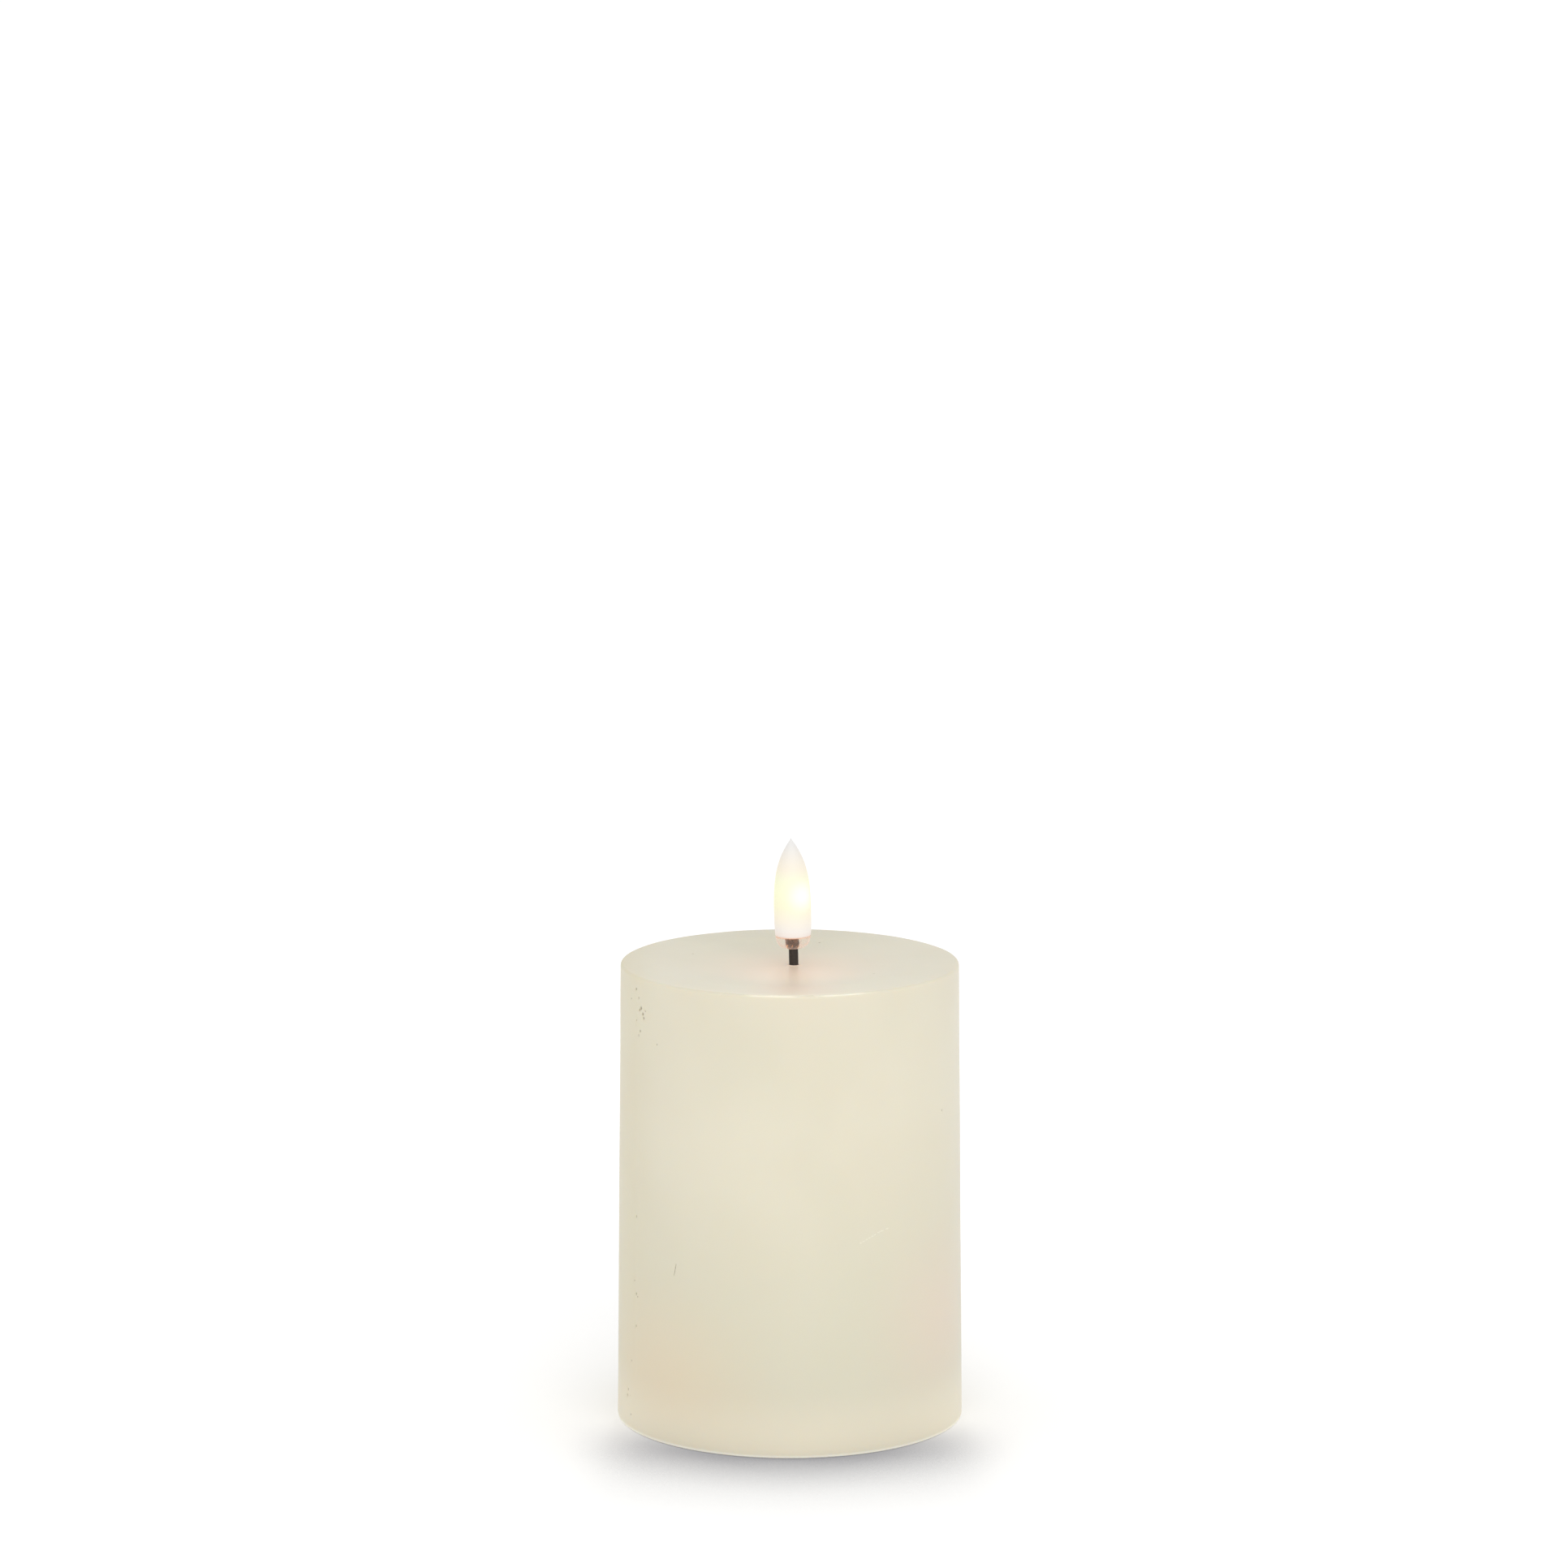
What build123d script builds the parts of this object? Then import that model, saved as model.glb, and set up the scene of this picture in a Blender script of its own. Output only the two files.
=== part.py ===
from build123d import *
from math import cos, pi, radians, sin, sqrt, tan
import os

# Flameless LED pillar candle: a hollow wax shell round a battery base, with a flame-shaped LED bulb on
# a wick. Millimetres, +Z up. The origin is the centre of the round face that the candle stands on.
# The front is -Y.

os.makedirs("parts", exist_ok=True)

# ---------------------------------------------------------------- driving dimensions

# wax shell
shell_height = 100.0
shell_radius = 37.5  # at the foot
shell_draft = 0.6  # degrees a side, so that it leaves its mould
shell_wall = 4.1  # at the foot
core_draft = 0.5  # degrees a side, of the hollow
top_web = 7.0  # wax above the hollow
rim_round = 0.7
foot_round = 0.5
ceiling_round = 2.5
lip_wall = 2.9  # wax left outside the seat of the base
dish_radius = 27.0  # the wax sinks a little round the wick as it sets
dish_depth = 1.0

# how loosely things fit
glue_gap = 0.15
slip = 0.2
running = 0.1
thread_gap = 0.02
touch = 0.02  # left between pieces that only touch
cross_depth = 0.6  # of a screw's cross recess, as a share of its head's height
screw_point = 0.5  # chamfer of a screw's end, as a share of its radius

# two AA cells, side by side along X
cell_radius = 7.1
cell_length = 50.1  # with its button
button_radius = 2.65
button_height = 1.0
button_round = 0.3
cell_edge = 0.9  # how far the can's edge is rolled in
cell_edge_height = 0.5
crimp_width = 0.4  # of the groove round the button
crimp_depth = 0.4
crimp_start = 1.2  # outside the button
cell_gap = 0.4
cell_side_gap = 0.3
cell_floor_gap = 0.4
cell_roof_gap = 0.4
spring_room = 2.5

# contacts
plate_metal = 0.4
contact_side_gap = 1.6  # less wide than the cell, each side
tab_width = 3.0
tab_rise = 2.5  # above the bay's roof
contact_extra_height = 0.6
contact_corner = 1.0
dimple_radius = 2.2
dimple_height = 0.6
dimple_slope = 30
spring_wire = 0.6
spring_wide = 3.4
spring_narrow = 1.7
spring_turns = 3

# base plate and its battery bay
plate_recess = 1.2  # the plate sits this far above what the candle stands on
plate_thickness = 2.6
bay_wall = 1.2
bay_corner = 3.2  # outside
bay_inner_corner = 1.5
bay_edge_round = 0.6
plate_edge = 0.4
ledge = 1.1
door_ledge_gap = 0.1
ridge_half_width = 1.6  # of the ridge between the cells
ridge_depth = 2.6
ridge_share = 0.6  # of the bay's length

# battery door
door_thickness = 1.4
hinge_tab_width = 5.0
hinge_tab_spacing = 32.0
hinge_tab_reach = 1.4
hinge_tab_thickness = 1.1
hinge_tab_root = 1.1  # of its upright, along Y
hinge_tab_inset = 0.3
hinge_end_room = 0.6  # in the slot, past the tab's end
hinge_side_room = 1.0
hinge_lift_room = 1.0
latch_width = 8.0
latch_thickness = 0.9
latch_gap = 0.34  # between its top and the cell over it
latch_setback = 0.9  # its outer face, inside the bay's edge, as when it is pressed in
latch_root = 0.2  # how far the barb is let into the finger
barb_reach = 0.65
thumb_reach = 1.6
thumb_root = 1.0  # how far the thumb tab runs into the door
thumb_share = 0.75  # of the door's thickness
thumb_corner = 0.8
scoop_side = 1.2  # wider than the thumb tab, each side
grip_count = 4
grip_pitch = 1.3
grip_width = 0.6
grip_depth = 0.35
grip_start = 2.4

# core cup
cup_wall = 1.4
cup_flange = 1.6
cup_headroom = 5.8  # over the battery bay
cup_edge_round = 1.0
boss_radius = 2.6
boss_inset = 4.4  # of the screws from the plate's edge
boss_angles = (90, -46, 226)
base_screw_radius = 1.25
base_screw_length = 10.0
base_head_radius = 2.3
base_head_height = 1.2
base_head_round = 0.5
base_cross_length = 2.4
base_cross_width = 0.5
wire_hole_radius = 2.0
wire_hole_y = -5.0

# circuit board and what is on it
board_thickness = 1.2
board_gap = 0.7  # between the board and the bay
board_depth = 11.8
board_width = 25.6
board_corner = 2.5
post_radius = 2.2
post_height = 4.2
post_spacing = 20.4
board_screw_radius = 0.95
board_screw_length = 4.5
board_head_radius = 1.9
board_head_height = 1.3
board_head_round = 0.6
board_cross_length = 2.0
board_cross_width = 0.45
post_floor = 0.2  # left under the screw's hole in its post

# slide switch with three places: on, off, timer
switch_setback = 0.5  # of its middle behind the board's
switch_length = 10.0
switch_width = 4.6
switch_metal = 0.35
switch_lift = 0.5  # under its shell, above the base plate
switch_step = 2.0
carriage_length = 3.6
carriage_height = 1.7
stem_length = 1.9
stem_width = 1.7
window_length = 12.0
window_width = 5.2
window_depth = 0.8
pin_radius = 0.3
pin_pitch = 2.0

# wick, in millimetres above the wax unless said otherwise
wick_radius = 1.0
wick_wall = 0.22
wick_offset = 0.85  # the wick stands a little off the centre
wick_lean = 1.3  # degrees towards -X
wick_bend_radius = 40.0
socket_flange_radius = 6.0
socket_flange = 1.5
socket_spigot_radius = 2.5
socket_spigot = 4.4
socket_tail = 2.0
socket_edge = 0.4
wick_tail = 1.5  # below the socket

# bulb, along the leaning wick from where it leaves the wax
neck_height = 3.45
bulb_base = 6.05
bulb_widest = 12.25
bulb_tip = 27.35
bulb_base_radius = 3.85
bulb_radius = 4.0
bulb_tip_radius = 0.3
bulb_wall = 0.75
bulb_tip_wall = 2.4
joint_sleeve_wall = 0.3  # of the dark joint between the wick and the bulb, over the wick
joint_sleeve_edge = 0.4
neck_wall = 0.4
collar_bore = 1.7  # round the legs, under the LED
collar_plug = 1.15
led_radius = 1.5
led_flange_rim = 0.4
led_flange = 1.0
led_height = 5.3
led_pitch = 2.54
leg_radius = 0.22
leg_spacing = 0.8  # inside the wick

# wires
wire_radius = 0.6
sleeve_wall = 0.2
sleeve_step = 0.8  # where a joint's sleeve narrows from the wire to the leg
joint_length = 7.0
leg_splay = 2.0  # the length in which the legs spread below the wick

# ---------------------------------------------------------------- levels and places that follow

plate_bottom = plate_recess
plate_top = plate_bottom + plate_thickness
seat_top = plate_top + cup_flange
recess_depth = door_thickness + door_ledge_gap
ledge_z = plate_bottom + recess_depth
door_top = plate_bottom + door_thickness

bay_length = cell_length + spring_room + dimple_height + 2 * plate_metal
bay_width = 4 * cell_radius + cell_gap + 2 * cell_side_gap
cell_y = cell_radius + cell_gap / 2
cell_z = door_top + cell_floor_gap + cell_radius
roof_bottom = cell_z + cell_radius + cell_roof_gap
roof_top = roof_bottom + bay_wall
latch_y = -bay_width / 2 + latch_setback
latch_back_y = cell_y + latch_y + latch_thickness  # its back face, from the middle of the cell
latch_rise = cell_z - sqrt((cell_radius + latch_gap) ** 2 - latch_back_y**2) - door_top
tab_top = roof_top + tab_rise
contact_z = cell_z
contact_width = 2 * (cell_radius - contact_side_gap)
contact_height = contact_width + contact_extra_height

recess_length = bay_length + 2 * ledge
recess_width = bay_width + 2 * ledge
recess_corner = bay_inner_corner + ledge
door_length = recess_length - 2 * slip
door_width = recess_width - 2 * slip
hinge_y = door_width / 2
bay_outer_y = bay_width / 2 + bay_wall

cavity_radius = shell_radius - shell_wall
seat_radius = shell_radius - lip_wall
plate_radius = seat_radius - slip
boss_circle = plate_radius - boss_inset
ceiling_z = shell_height - top_web
wax_top = shell_height - dish_depth
cup_ceiling = roof_top + cup_headroom
cup_height = cup_ceiling + cup_wall  # its top, above what the candle stands on

board_bottom = plate_top + post_height
board_top = board_bottom + board_thickness
board_back = -(bay_outer_y + board_gap)
board_y = board_back - board_depth / 2
switch_y = board_y + switch_setback

socket_bottom = ceiling_z - socket_flange - socket_tail
wick_bottom = socket_bottom - wick_tail

bend_z = wax_top + wick_bend_radius * tan(radians(wick_lean / 2))
bulb_plane = Plane(
    origin=(wick_offset, 0, bend_z),
    x_dir=(cos(radians(wick_lean)), 0, sin(radians(wick_lean))),
    z_dir=(-sin(radians(wick_lean)), 0, cos(radians(wick_lean))),
)
collar_top = bulb_base + collar_plug
bulb_bore = bulb_base_radius - bulb_wall
wick_bore = wick_radius - wick_wall
joint_sleeve_radius = wick_radius + joint_sleeve_wall
neck_radius = joint_sleeve_radius + neck_wall
led_flange_radius = led_radius + led_flange_rim
joint_y = leg_spacing / 2 + wire_radius + sleeve_wall  # of the joints under the wick
joint_top = wick_bottom - 1.5 * leg_splay
joint_z = joint_top - joint_length / 2


def cavity_at(height):
    """Radius of the wax shell's hollow at a height."""
    return cavity_radius - height * tan(radians(core_draft))


def keep(piece, name):
    """Labels a finished piece and writes its STEP file."""
    piece.part.label = name
    export_step(piece.part, f"parts/{name}.step")


def on_bulb(x, y, height):
    """A point given in the bulb's leaning frame."""
    return bulb_plane.from_local_coords(Vector(x, y, height))


def corner_radii(points, share=0.45):
    """The largest arc that each corner of a wire's route has room for."""
    radii = []
    for before, here, after in zip(points, points[1:], points[2:]):
        one, two = Vector(here) - Vector(before), Vector(after) - Vector(here)
        half_turn = radians(one.get_angle(two)) / 2
        radii.append(share * min(one.length, two.length) / tan(half_turn))
    return radii


def wire_along(points, radius):
    """A round wire swept along straight runs joined by tangent arcs."""
    radii = corner_radii(points)
    with BuildPart() as wire:
        with BuildLine():
            route = FilletPolyline(*points, radius=radii)
        with BuildSketch(Plane(origin=route @ 0, z_dir=route % 0)):
            Circle(radius)
        sweep(path=route)
    length = route.length
    share = wire.part.volume / (length * pi * radius**2)
    print(f"wire {length:.1f} mm, volume share {share:.4f}, radii", [round(r, 1) for r in radii])
    return wire


# ---------------------------------------------------------------- wax shell

shell_top_radius = shell_radius - shell_height * tan(radians(shell_draft))
dish_sphere = (dish_radius**2 + dish_depth**2) / (2 * dish_depth)
dish_mid = wax_top + (dish_radius / 2) ** 2 / (2 * dish_sphere)

with BuildPart() as wax_shell:
    with BuildSketch(Plane.XZ) as shell_profile:
        with BuildLine():
            Polyline(
                (0, wax_top),
                (0, ceiling_z),
                (cavity_at(ceiling_z), ceiling_z),
                (cavity_at(seat_top), seat_top),
                (seat_radius, seat_top),
                (seat_radius, 0),
                (shell_radius, 0),
                (shell_top_radius, shell_height),
                (dish_radius, shell_height),
            )
            ThreePointArc((dish_radius, shell_height), (dish_radius / 2, dish_mid), (0, wax_top))
        make_face()
        rim, foot = (shell_top_radius, shell_height), (shell_radius, 0)
        ceiling_corner = (cavity_at(ceiling_z), ceiling_z)
        fillet(shell_profile.vertices().sort_by_distance(rim)[0], rim_round)
        fillet(shell_profile.vertices().sort_by_distance(foot)[0], foot_round)
        fillet(shell_profile.vertices().sort_by_distance(ceiling_corner)[0], ceiling_round)
    revolve(axis=Axis.Z)
    with Locations((wick_offset, 0, ceiling_z + socket_spigot + running)):
        Cylinder(
            socket_spigot_radius + running,
            socket_spigot + running,
            align=(Align.CENTER, Align.CENTER, Align.MAX),
            mode=Mode.SUBTRACT,
        )
    with Locations((wick_offset, 0, ceiling_z)):
        Cylinder(
            wick_radius + running,
            top_web + 1,
            align=(Align.CENTER, Align.CENTER, Align.MIN),
            mode=Mode.SUBTRACT,
        )
keep(wax_shell, "wax_shell")

# ---------------------------------------------------------------- core cup, glued into the shell

cup_outer = [(cavity_at(z) - glue_gap, z) for z in (seat_top, cup_height)]
cup_inner = [(cavity_at(z) - glue_gap - cup_wall, z) for z in (plate_top, cup_ceiling)]
boss_places = [(boss_circle * cos(radians(a)), boss_circle * sin(radians(a))) for a in boss_angles]
boss_length = cup_height - plate_top

with BuildPart() as core_cup:
    with BuildSketch(Plane.XZ) as cup_profile:
        with BuildLine():
            Polyline(
                (0, cup_ceiling),
                (0, cup_height),
                cup_outer[1],
                cup_outer[0],
                (seat_radius - glue_gap, seat_top),
                (seat_radius - glue_gap, plate_top),
                cup_inner[0],
                cup_inner[1],
                close=True,
            )
        make_face()
        fillet(cup_profile.vertices().sort_by_distance(cup_outer[1])[0], cup_edge_round)
    revolve(axis=Axis.Z)
    with BuildSketch(Plane.XY.offset(plate_top)):
        with Locations(*boss_places):
            Circle(boss_radius)
    extrude(amount=boss_length - cup_wall / 2)
    with BuildSketch(Plane.XY.offset(plate_top)):
        with Locations(*boss_places):
            Circle(base_screw_radius + thread_gap)
    extrude(amount=base_screw_length, mode=Mode.SUBTRACT)
    with BuildSketch(Plane.XY.offset(cup_ceiling)):
        with Locations((0, wire_hole_y)):
            Circle(wire_hole_radius)
    extrude(amount=cup_wall, mode=Mode.SUBTRACT)
    wire_hole_edges = core_cup.edges().filter_by(GeomType.CIRCLE)
    wire_hole_edges = wire_hole_edges.filter_by(lambda e: abs(e.radius - wire_hole_radius) < 1e-6)
    fillet(wire_hole_edges, cup_wall / 4)
keep(core_cup, "core_cup")

# ---------------------------------------------------------------- base plate, with the battery bay

post_places = [(-post_spacing / 2, board_y), (post_spacing / 2, board_y)]
hinge_tabs = [(-hinge_tab_spacing / 2, 0), (hinge_tab_spacing / 2, 0)]
tab_slot_x = bay_length / 2 - plate_metal / 2
stem_slot_length = stem_length + 2 * switch_step + 2 * slip
counterbore_depth = base_head_height + slip
mark_y = switch_y - window_width / 2 - 2.4
mark_spacing = 3.2
mark_size = 1.0
mark_line = 0.35
mark_depth = 0.3

with BuildPart() as base_plate:
    with BuildSketch(Plane.XY.offset(plate_bottom)):
        Circle(plate_radius)
    extrude(amount=plate_thickness)
    chamfer(base_plate.edges().group_by(Axis.Z)[0], plate_edge)
    # the bay stands on the plate
    with BuildSketch(Plane.XY.offset(plate_top)):
        RectangleRounded(bay_length + 2 * bay_wall, bay_width + 2 * bay_wall, bay_corner)
    extrude(amount=roof_top - plate_top)
    fillet(base_plate.edges().group_by(Axis.Z)[-1], bay_edge_round)
    with BuildSketch(Plane.XY.offset(ledge_z)):
        RectangleRounded(bay_length, bay_width, bay_inner_corner)
    extrude(amount=roof_bottom - ledge_z, mode=Mode.SUBTRACT)
    with BuildSketch(Plane.XY.offset(plate_bottom)):
        RectangleRounded(recess_length, recess_width, recess_corner)
    extrude(amount=recess_depth, mode=Mode.SUBTRACT)
    # a ridge under the roof keeps the two cells apart
    with BuildSketch(Plane.YZ.offset(-bay_length * ridge_share / 2)):
        with BuildLine():
            ridge_root = roof_bottom + bay_wall / 6
            Polyline(
                (-ridge_half_width, ridge_root),
                (0, roof_bottom - ridge_depth),
                (ridge_half_width, ridge_root),
                close=True,
            )
        make_face()
    extrude(amount=bay_length * ridge_share)
    # slots for the door's hinge tabs, through the rear wall and into the plate
    with BuildSketch(Plane.XY.offset(ledge_z)):
        with Locations(*[(x, bay_width / 2 - slip) for x, _ in hinge_tabs]):
            Rectangle(
                hinge_tab_width + hinge_side_room,
                ledge + hinge_tab_reach + hinge_end_room,
                align=(Align.CENTER, Align.MIN),
            )
    extrude(amount=hinge_tab_thickness + hinge_lift_room, mode=Mode.SUBTRACT)
    # a window in the front wall where the latch's barb springs out over the ledge
    with BuildSketch(Plane.XY.offset(plate_top)):
        with Locations((0, -bay_width / 2 + slip)):
            Rectangle(latch_width + 2 * slip, bay_wall + 2 * slip, align=(Align.CENTER, Align.MAX))
    extrude(amount=latch_rise, mode=Mode.SUBTRACT)
    # a finger scoop round the door's thumb tab
    with BuildSketch(Plane.XY.offset(plate_bottom)):
        with Locations((0, -recess_width / 2 + thumb_root)):
            RectangleRounded(
                latch_width + 2 * scoop_side,
                thumb_reach + 2 * thumb_root,
                thumb_corner + running,
                align=(Align.CENTER, Align.MAX),
            )
    extrude(amount=recess_depth, mode=Mode.SUBTRACT)
    # contact tabs come up through the roof at the +X end
    with BuildSketch(Plane.XY.offset(roof_bottom)):
        with Locations((tab_slot_x, cell_y), (tab_slot_x, -cell_y)):
            Rectangle(plate_metal + slip, tab_width + 2 * slip)
    extrude(amount=bay_wall, mode=Mode.SUBTRACT)
    # posts for the board
    with BuildSketch(Plane.XY.offset(plate_top)):
        with Locations(*post_places):
            Circle(post_radius)
    extrude(amount=post_height)
    with BuildSketch(Plane.XY.offset(board_bottom)):
        with Locations(*post_places):
            Circle(board_screw_radius + thread_gap)
    extrude(amount=-(post_height - post_floor), mode=Mode.SUBTRACT)
    # base screws
    with Locations(Plane.XY.offset(plate_bottom).rotated((180, 0, 0))):
        with Locations(*[(x, -y) for x, y in boss_places]):
            CounterBoreHole(base_screw_radius + slip, base_head_radius + slip, counterbore_depth)
    # the switch's window and slot
    with BuildSketch(Plane.XY.offset(plate_bottom)):
        with Locations((0, switch_y)):
            SlotOverall(window_length, window_width)
    extrude(amount=window_depth, mode=Mode.SUBTRACT)
    with BuildSketch(Plane.XY.offset(plate_bottom)):
        with Locations((0, switch_y)):
            Rectangle(stem_slot_length, stem_width + 2 * slip)
    extrude(amount=plate_thickness, mode=Mode.SUBTRACT)
    # marks beside the switch: a bar for on, a ring for off, a clock face for the timer
    with BuildSketch(Plane.XY.offset(plate_bottom)):
        with Locations((-mark_spacing, mark_y)):
            Rectangle(mark_line, 2 * mark_size)
        with Locations((0, mark_y), (mark_spacing, mark_y)):
            Circle(mark_size)
            Circle(mark_size - mark_line, mode=Mode.SUBTRACT)
        with Locations((mark_spacing, mark_y + mark_size / 4)):
            Rectangle(mark_line * 0.8, mark_size / 2)
        with Locations((mark_spacing + mark_size / 5, mark_y)):
            Rectangle(mark_size / 2, mark_line * 0.8)
    extrude(amount=mark_depth, mode=Mode.SUBTRACT)
keep(base_plate, "base_plate")

with BuildPart() as base_screws:
    with BuildSketch(Plane.XY.offset(plate_bottom + counterbore_depth)):
        with Locations(*boss_places):
            Circle(base_head_radius)
    extrude(amount=-base_head_height)
    fillet(base_screws.edges().group_by(Axis.Z)[0], base_head_round)
    with BuildSketch(Plane.XY.offset(plate_bottom + counterbore_depth)):
        with Locations(*boss_places):
            Circle(base_screw_radius)
    extrude(amount=base_screw_length)
    chamfer(base_screws.edges().group_by(Axis.Z)[-1], base_screw_radius * screw_point)
    with BuildSketch(Plane.XY.offset(plate_bottom + counterbore_depth - base_head_height)):
        with Locations(*boss_places):
            Rectangle(base_cross_length, base_cross_width)
            Rectangle(base_cross_width, base_cross_length)
    extrude(amount=base_head_height * cross_depth, mode=Mode.SUBTRACT)
keep(base_screws, "base_screws")

# ---------------------------------------------------------------- battery door

hinge_tab_z = ledge_z + slip * 1.25
hinge_root_y = bay_width / 2 - hinge_tab_inset - hinge_tab_root  # the tab's front face

with BuildPart() as battery_door:
    with BuildSketch(Plane.XY.offset(plate_bottom)):
        RectangleRounded(door_length, door_width, recess_corner - slip)
    extrude(amount=door_thickness)
    # L-shaped hinge tabs reach through the rear wall
    with BuildSketch(Plane.XY.offset(door_top)):
        with Locations(*[(x, hinge_root_y) for x, _ in hinge_tabs]):
            Rectangle(hinge_tab_width, hinge_tab_root, align=(Align.CENTER, Align.MIN))
    extrude(amount=hinge_tab_z + hinge_tab_thickness - door_top)
    with BuildSketch(Plane.XY.offset(hinge_tab_z)):
        with Locations(*[(x, hinge_root_y) for x, _ in hinge_tabs]):
            Rectangle(
                hinge_tab_width,
                hinge_y + hinge_tab_reach - hinge_root_y,
                align=(Align.CENTER, Align.MIN),
            )
    extrude(amount=hinge_tab_thickness)
    # the latch finger, drawn as pressed in, with its barb clear of the ledge
    with BuildSketch(Plane.XY.offset(door_top)):
        with Locations((0, latch_y)):
            Rectangle(latch_width, latch_thickness, align=(Align.CENTER, Align.MIN))
    extrude(amount=latch_rise)
    with BuildSketch(Plane.YZ.offset(-latch_width / 2)):
        with BuildLine():
            Polyline(
                (latch_y + latch_root, plate_top + slip),
                (latch_y - barb_reach, plate_top + slip),
                (latch_y, door_top + latch_rise),
                (latch_y + latch_root, door_top + latch_rise),
                close=True,
            )
        make_face()
    extrude(amount=latch_width)
    # thumb tab
    with BuildSketch(Plane.XY.offset(plate_bottom)):
        with Locations((0, -hinge_y + thumb_root)):
            RectangleRounded(
                latch_width,
                thumb_reach + thumb_root,
                thumb_corner,
                align=(Align.CENTER, Align.MAX),
            )
    extrude(amount=door_thickness * thumb_share)
    # grip grooves over the latch
    with BuildSketch(Plane.XY.offset(plate_bottom)):
        with Locations((0, -hinge_y + grip_start)):
            with GridLocations(1, grip_pitch, 1, grip_count):
                SlotOverall(latch_width, grip_width)
    extrude(amount=grip_depth, mode=Mode.SUBTRACT)
keep(battery_door, "battery_door")

# ---------------------------------------------------------------- cells and contacts

cell_start = -bay_length / 2 + plate_metal + spring_room  # the flat end of the cell whose button faces +X


def aa_cell(name, side):
    """One cell. side 1 has its button towards +X, side -1 towards -X."""
    body_end = cell_length - button_height
    with BuildPart() as cell:
        with BuildSketch(Plane.XY) as half:
            with BuildLine():
                Polyline(
                    (0, 0),
                    (cell_radius - cell_edge, 0),
                    (cell_radius, cell_edge_height),
                    (cell_radius, body_end - cell_edge_height),
                    (cell_radius - cell_edge, body_end),
                    (button_radius + crimp_start + crimp_width, body_end),
                    (button_radius + crimp_start, body_end - crimp_depth),
                    (button_radius, body_end - crimp_depth),
                    (button_radius, cell_length - button_round),
                    (button_radius - button_round, cell_length),
                    (0, cell_length),
                    close=True,
                )
            make_face()
        revolve(axis=Axis.Y)
    turned = cell.part.rotate(Axis.Z, -90 * side)
    with BuildPart() as placed:
        add(turned.moved(Location((side * cell_start, side * cell_y, cell_z))))
    keep(placed, name)


aa_cell("battery_cell_a", 1)
aa_cell("battery_cell_b", -1)


def contact_plate(sides, dimple_sides, end, with_tab):
    """A sprung-steel plate against the bay's end wall: sides are the cells it serves, end is 1 at +X."""
    face_x = end * bay_length / 2
    widest = contact_width + (2 * cell_y if len(sides) > 1 else 0)
    middle = 0 if len(sides) > 1 else sides[0] * cell_y
    with BuildPart() as plate:
        with BuildSketch(Plane.YZ.offset(face_x)):
            with Locations((middle, contact_z)):
                RectangleRounded(widest, contact_height, contact_corner)
            if with_tab:
                with Locations((middle, contact_z)):
                    Rectangle(tab_width, tab_top - contact_z, align=(Align.CENTER, Align.MIN))
        extrude(amount=-end * plate_metal)
        if dimple_sides:
            with BuildSketch(Plane.YZ.offset(face_x - end * plate_metal)):
                with Locations(*[(s * cell_y, cell_z) for s in dimple_sides]):
                    Circle(dimple_radius)
            extrude(amount=-end * (dimple_height - touch), taper=dimple_slope)
    return plate


keep(contact_plate([1], [1], 1, True), "positive_contact")
keep(contact_plate([-1], [], 1, True), "negative_contact")
keep(contact_plate([1, -1], [-1], -1, False), "bridge_contact")


# a conical spring stands between a contact plate and the flat end of each cell
spring_rise = spring_room - spring_wire - 2 * touch
spring_start_x = -(bay_length / 2 - plate_metal - touch - spring_wire / 2)

with BuildPart() as bridge_spring:
    with BuildLine():
        coil = Helix(
            pitch=spring_rise / spring_turns,
            height=spring_rise,
            radius=spring_wide,
            center=(spring_start_x, cell_y, cell_z),
            direction=(1, 0, 0),
            cone_angle=-Vector(spring_rise, spring_wide - spring_narrow).get_angle(Vector(1, 0)),
        )
    with BuildSketch(Plane(origin=coil @ 0, z_dir=coil % 0)):
        Circle(spring_wire / 2)
    sweep(path=coil, is_frenet=True)
keep(bridge_spring, "bridge_spring")

with BuildPart() as negative_spring:
    add(bridge_spring.part.rotate(Axis.Z, 180))
keep(negative_spring, "negative_spring")

# ---------------------------------------------------------------- circuit board

pin_setback = 0.4
pin_y = switch_y + pin_setback
pin_places = [((i - 1.5) * pin_pitch, pin_y) for i in range(4)]

with BuildPart() as circuit_board:
    with BuildSketch(Plane.XY.offset(board_bottom)) as board_outline:
        with Locations((0, board_y)):
            Rectangle(board_width, board_depth)
        chamfer(board_outline.vertices().group_by(Axis.Y)[0], board_corner)
        with Locations(*post_places):
            Circle(board_screw_radius + slip, mode=Mode.SUBTRACT)
        with Locations(*pin_places):
            Circle(pin_radius + running, mode=Mode.SUBTRACT)
    extrude(amount=board_thickness)
keep(circuit_board, "circuit_board")

with BuildPart() as board_screws:
    with BuildSketch(Plane.XY.offset(board_top)):
        with Locations(*post_places):
            Circle(board_head_radius)
    extrude(amount=board_head_height)
    fillet(board_screws.edges().group_by(Axis.Z)[-1], board_head_round)
    with BuildSketch(Plane.XY.offset(board_top)):
        with Locations(*post_places):
            Circle(board_screw_radius)
    extrude(amount=-board_screw_length)
    chamfer(board_screws.edges().group_by(Axis.Z)[0], board_screw_radius * screw_point)
    with BuildSketch(Plane.XY.offset(board_top + board_head_height)):
        with Locations(*post_places):
            Rectangle(board_cross_length, board_cross_width)
            Rectangle(board_cross_width, board_cross_length)
    extrude(amount=-board_head_height * cross_depth, mode=Mode.SUBTRACT)
keep(board_screws, "board_screws")

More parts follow.
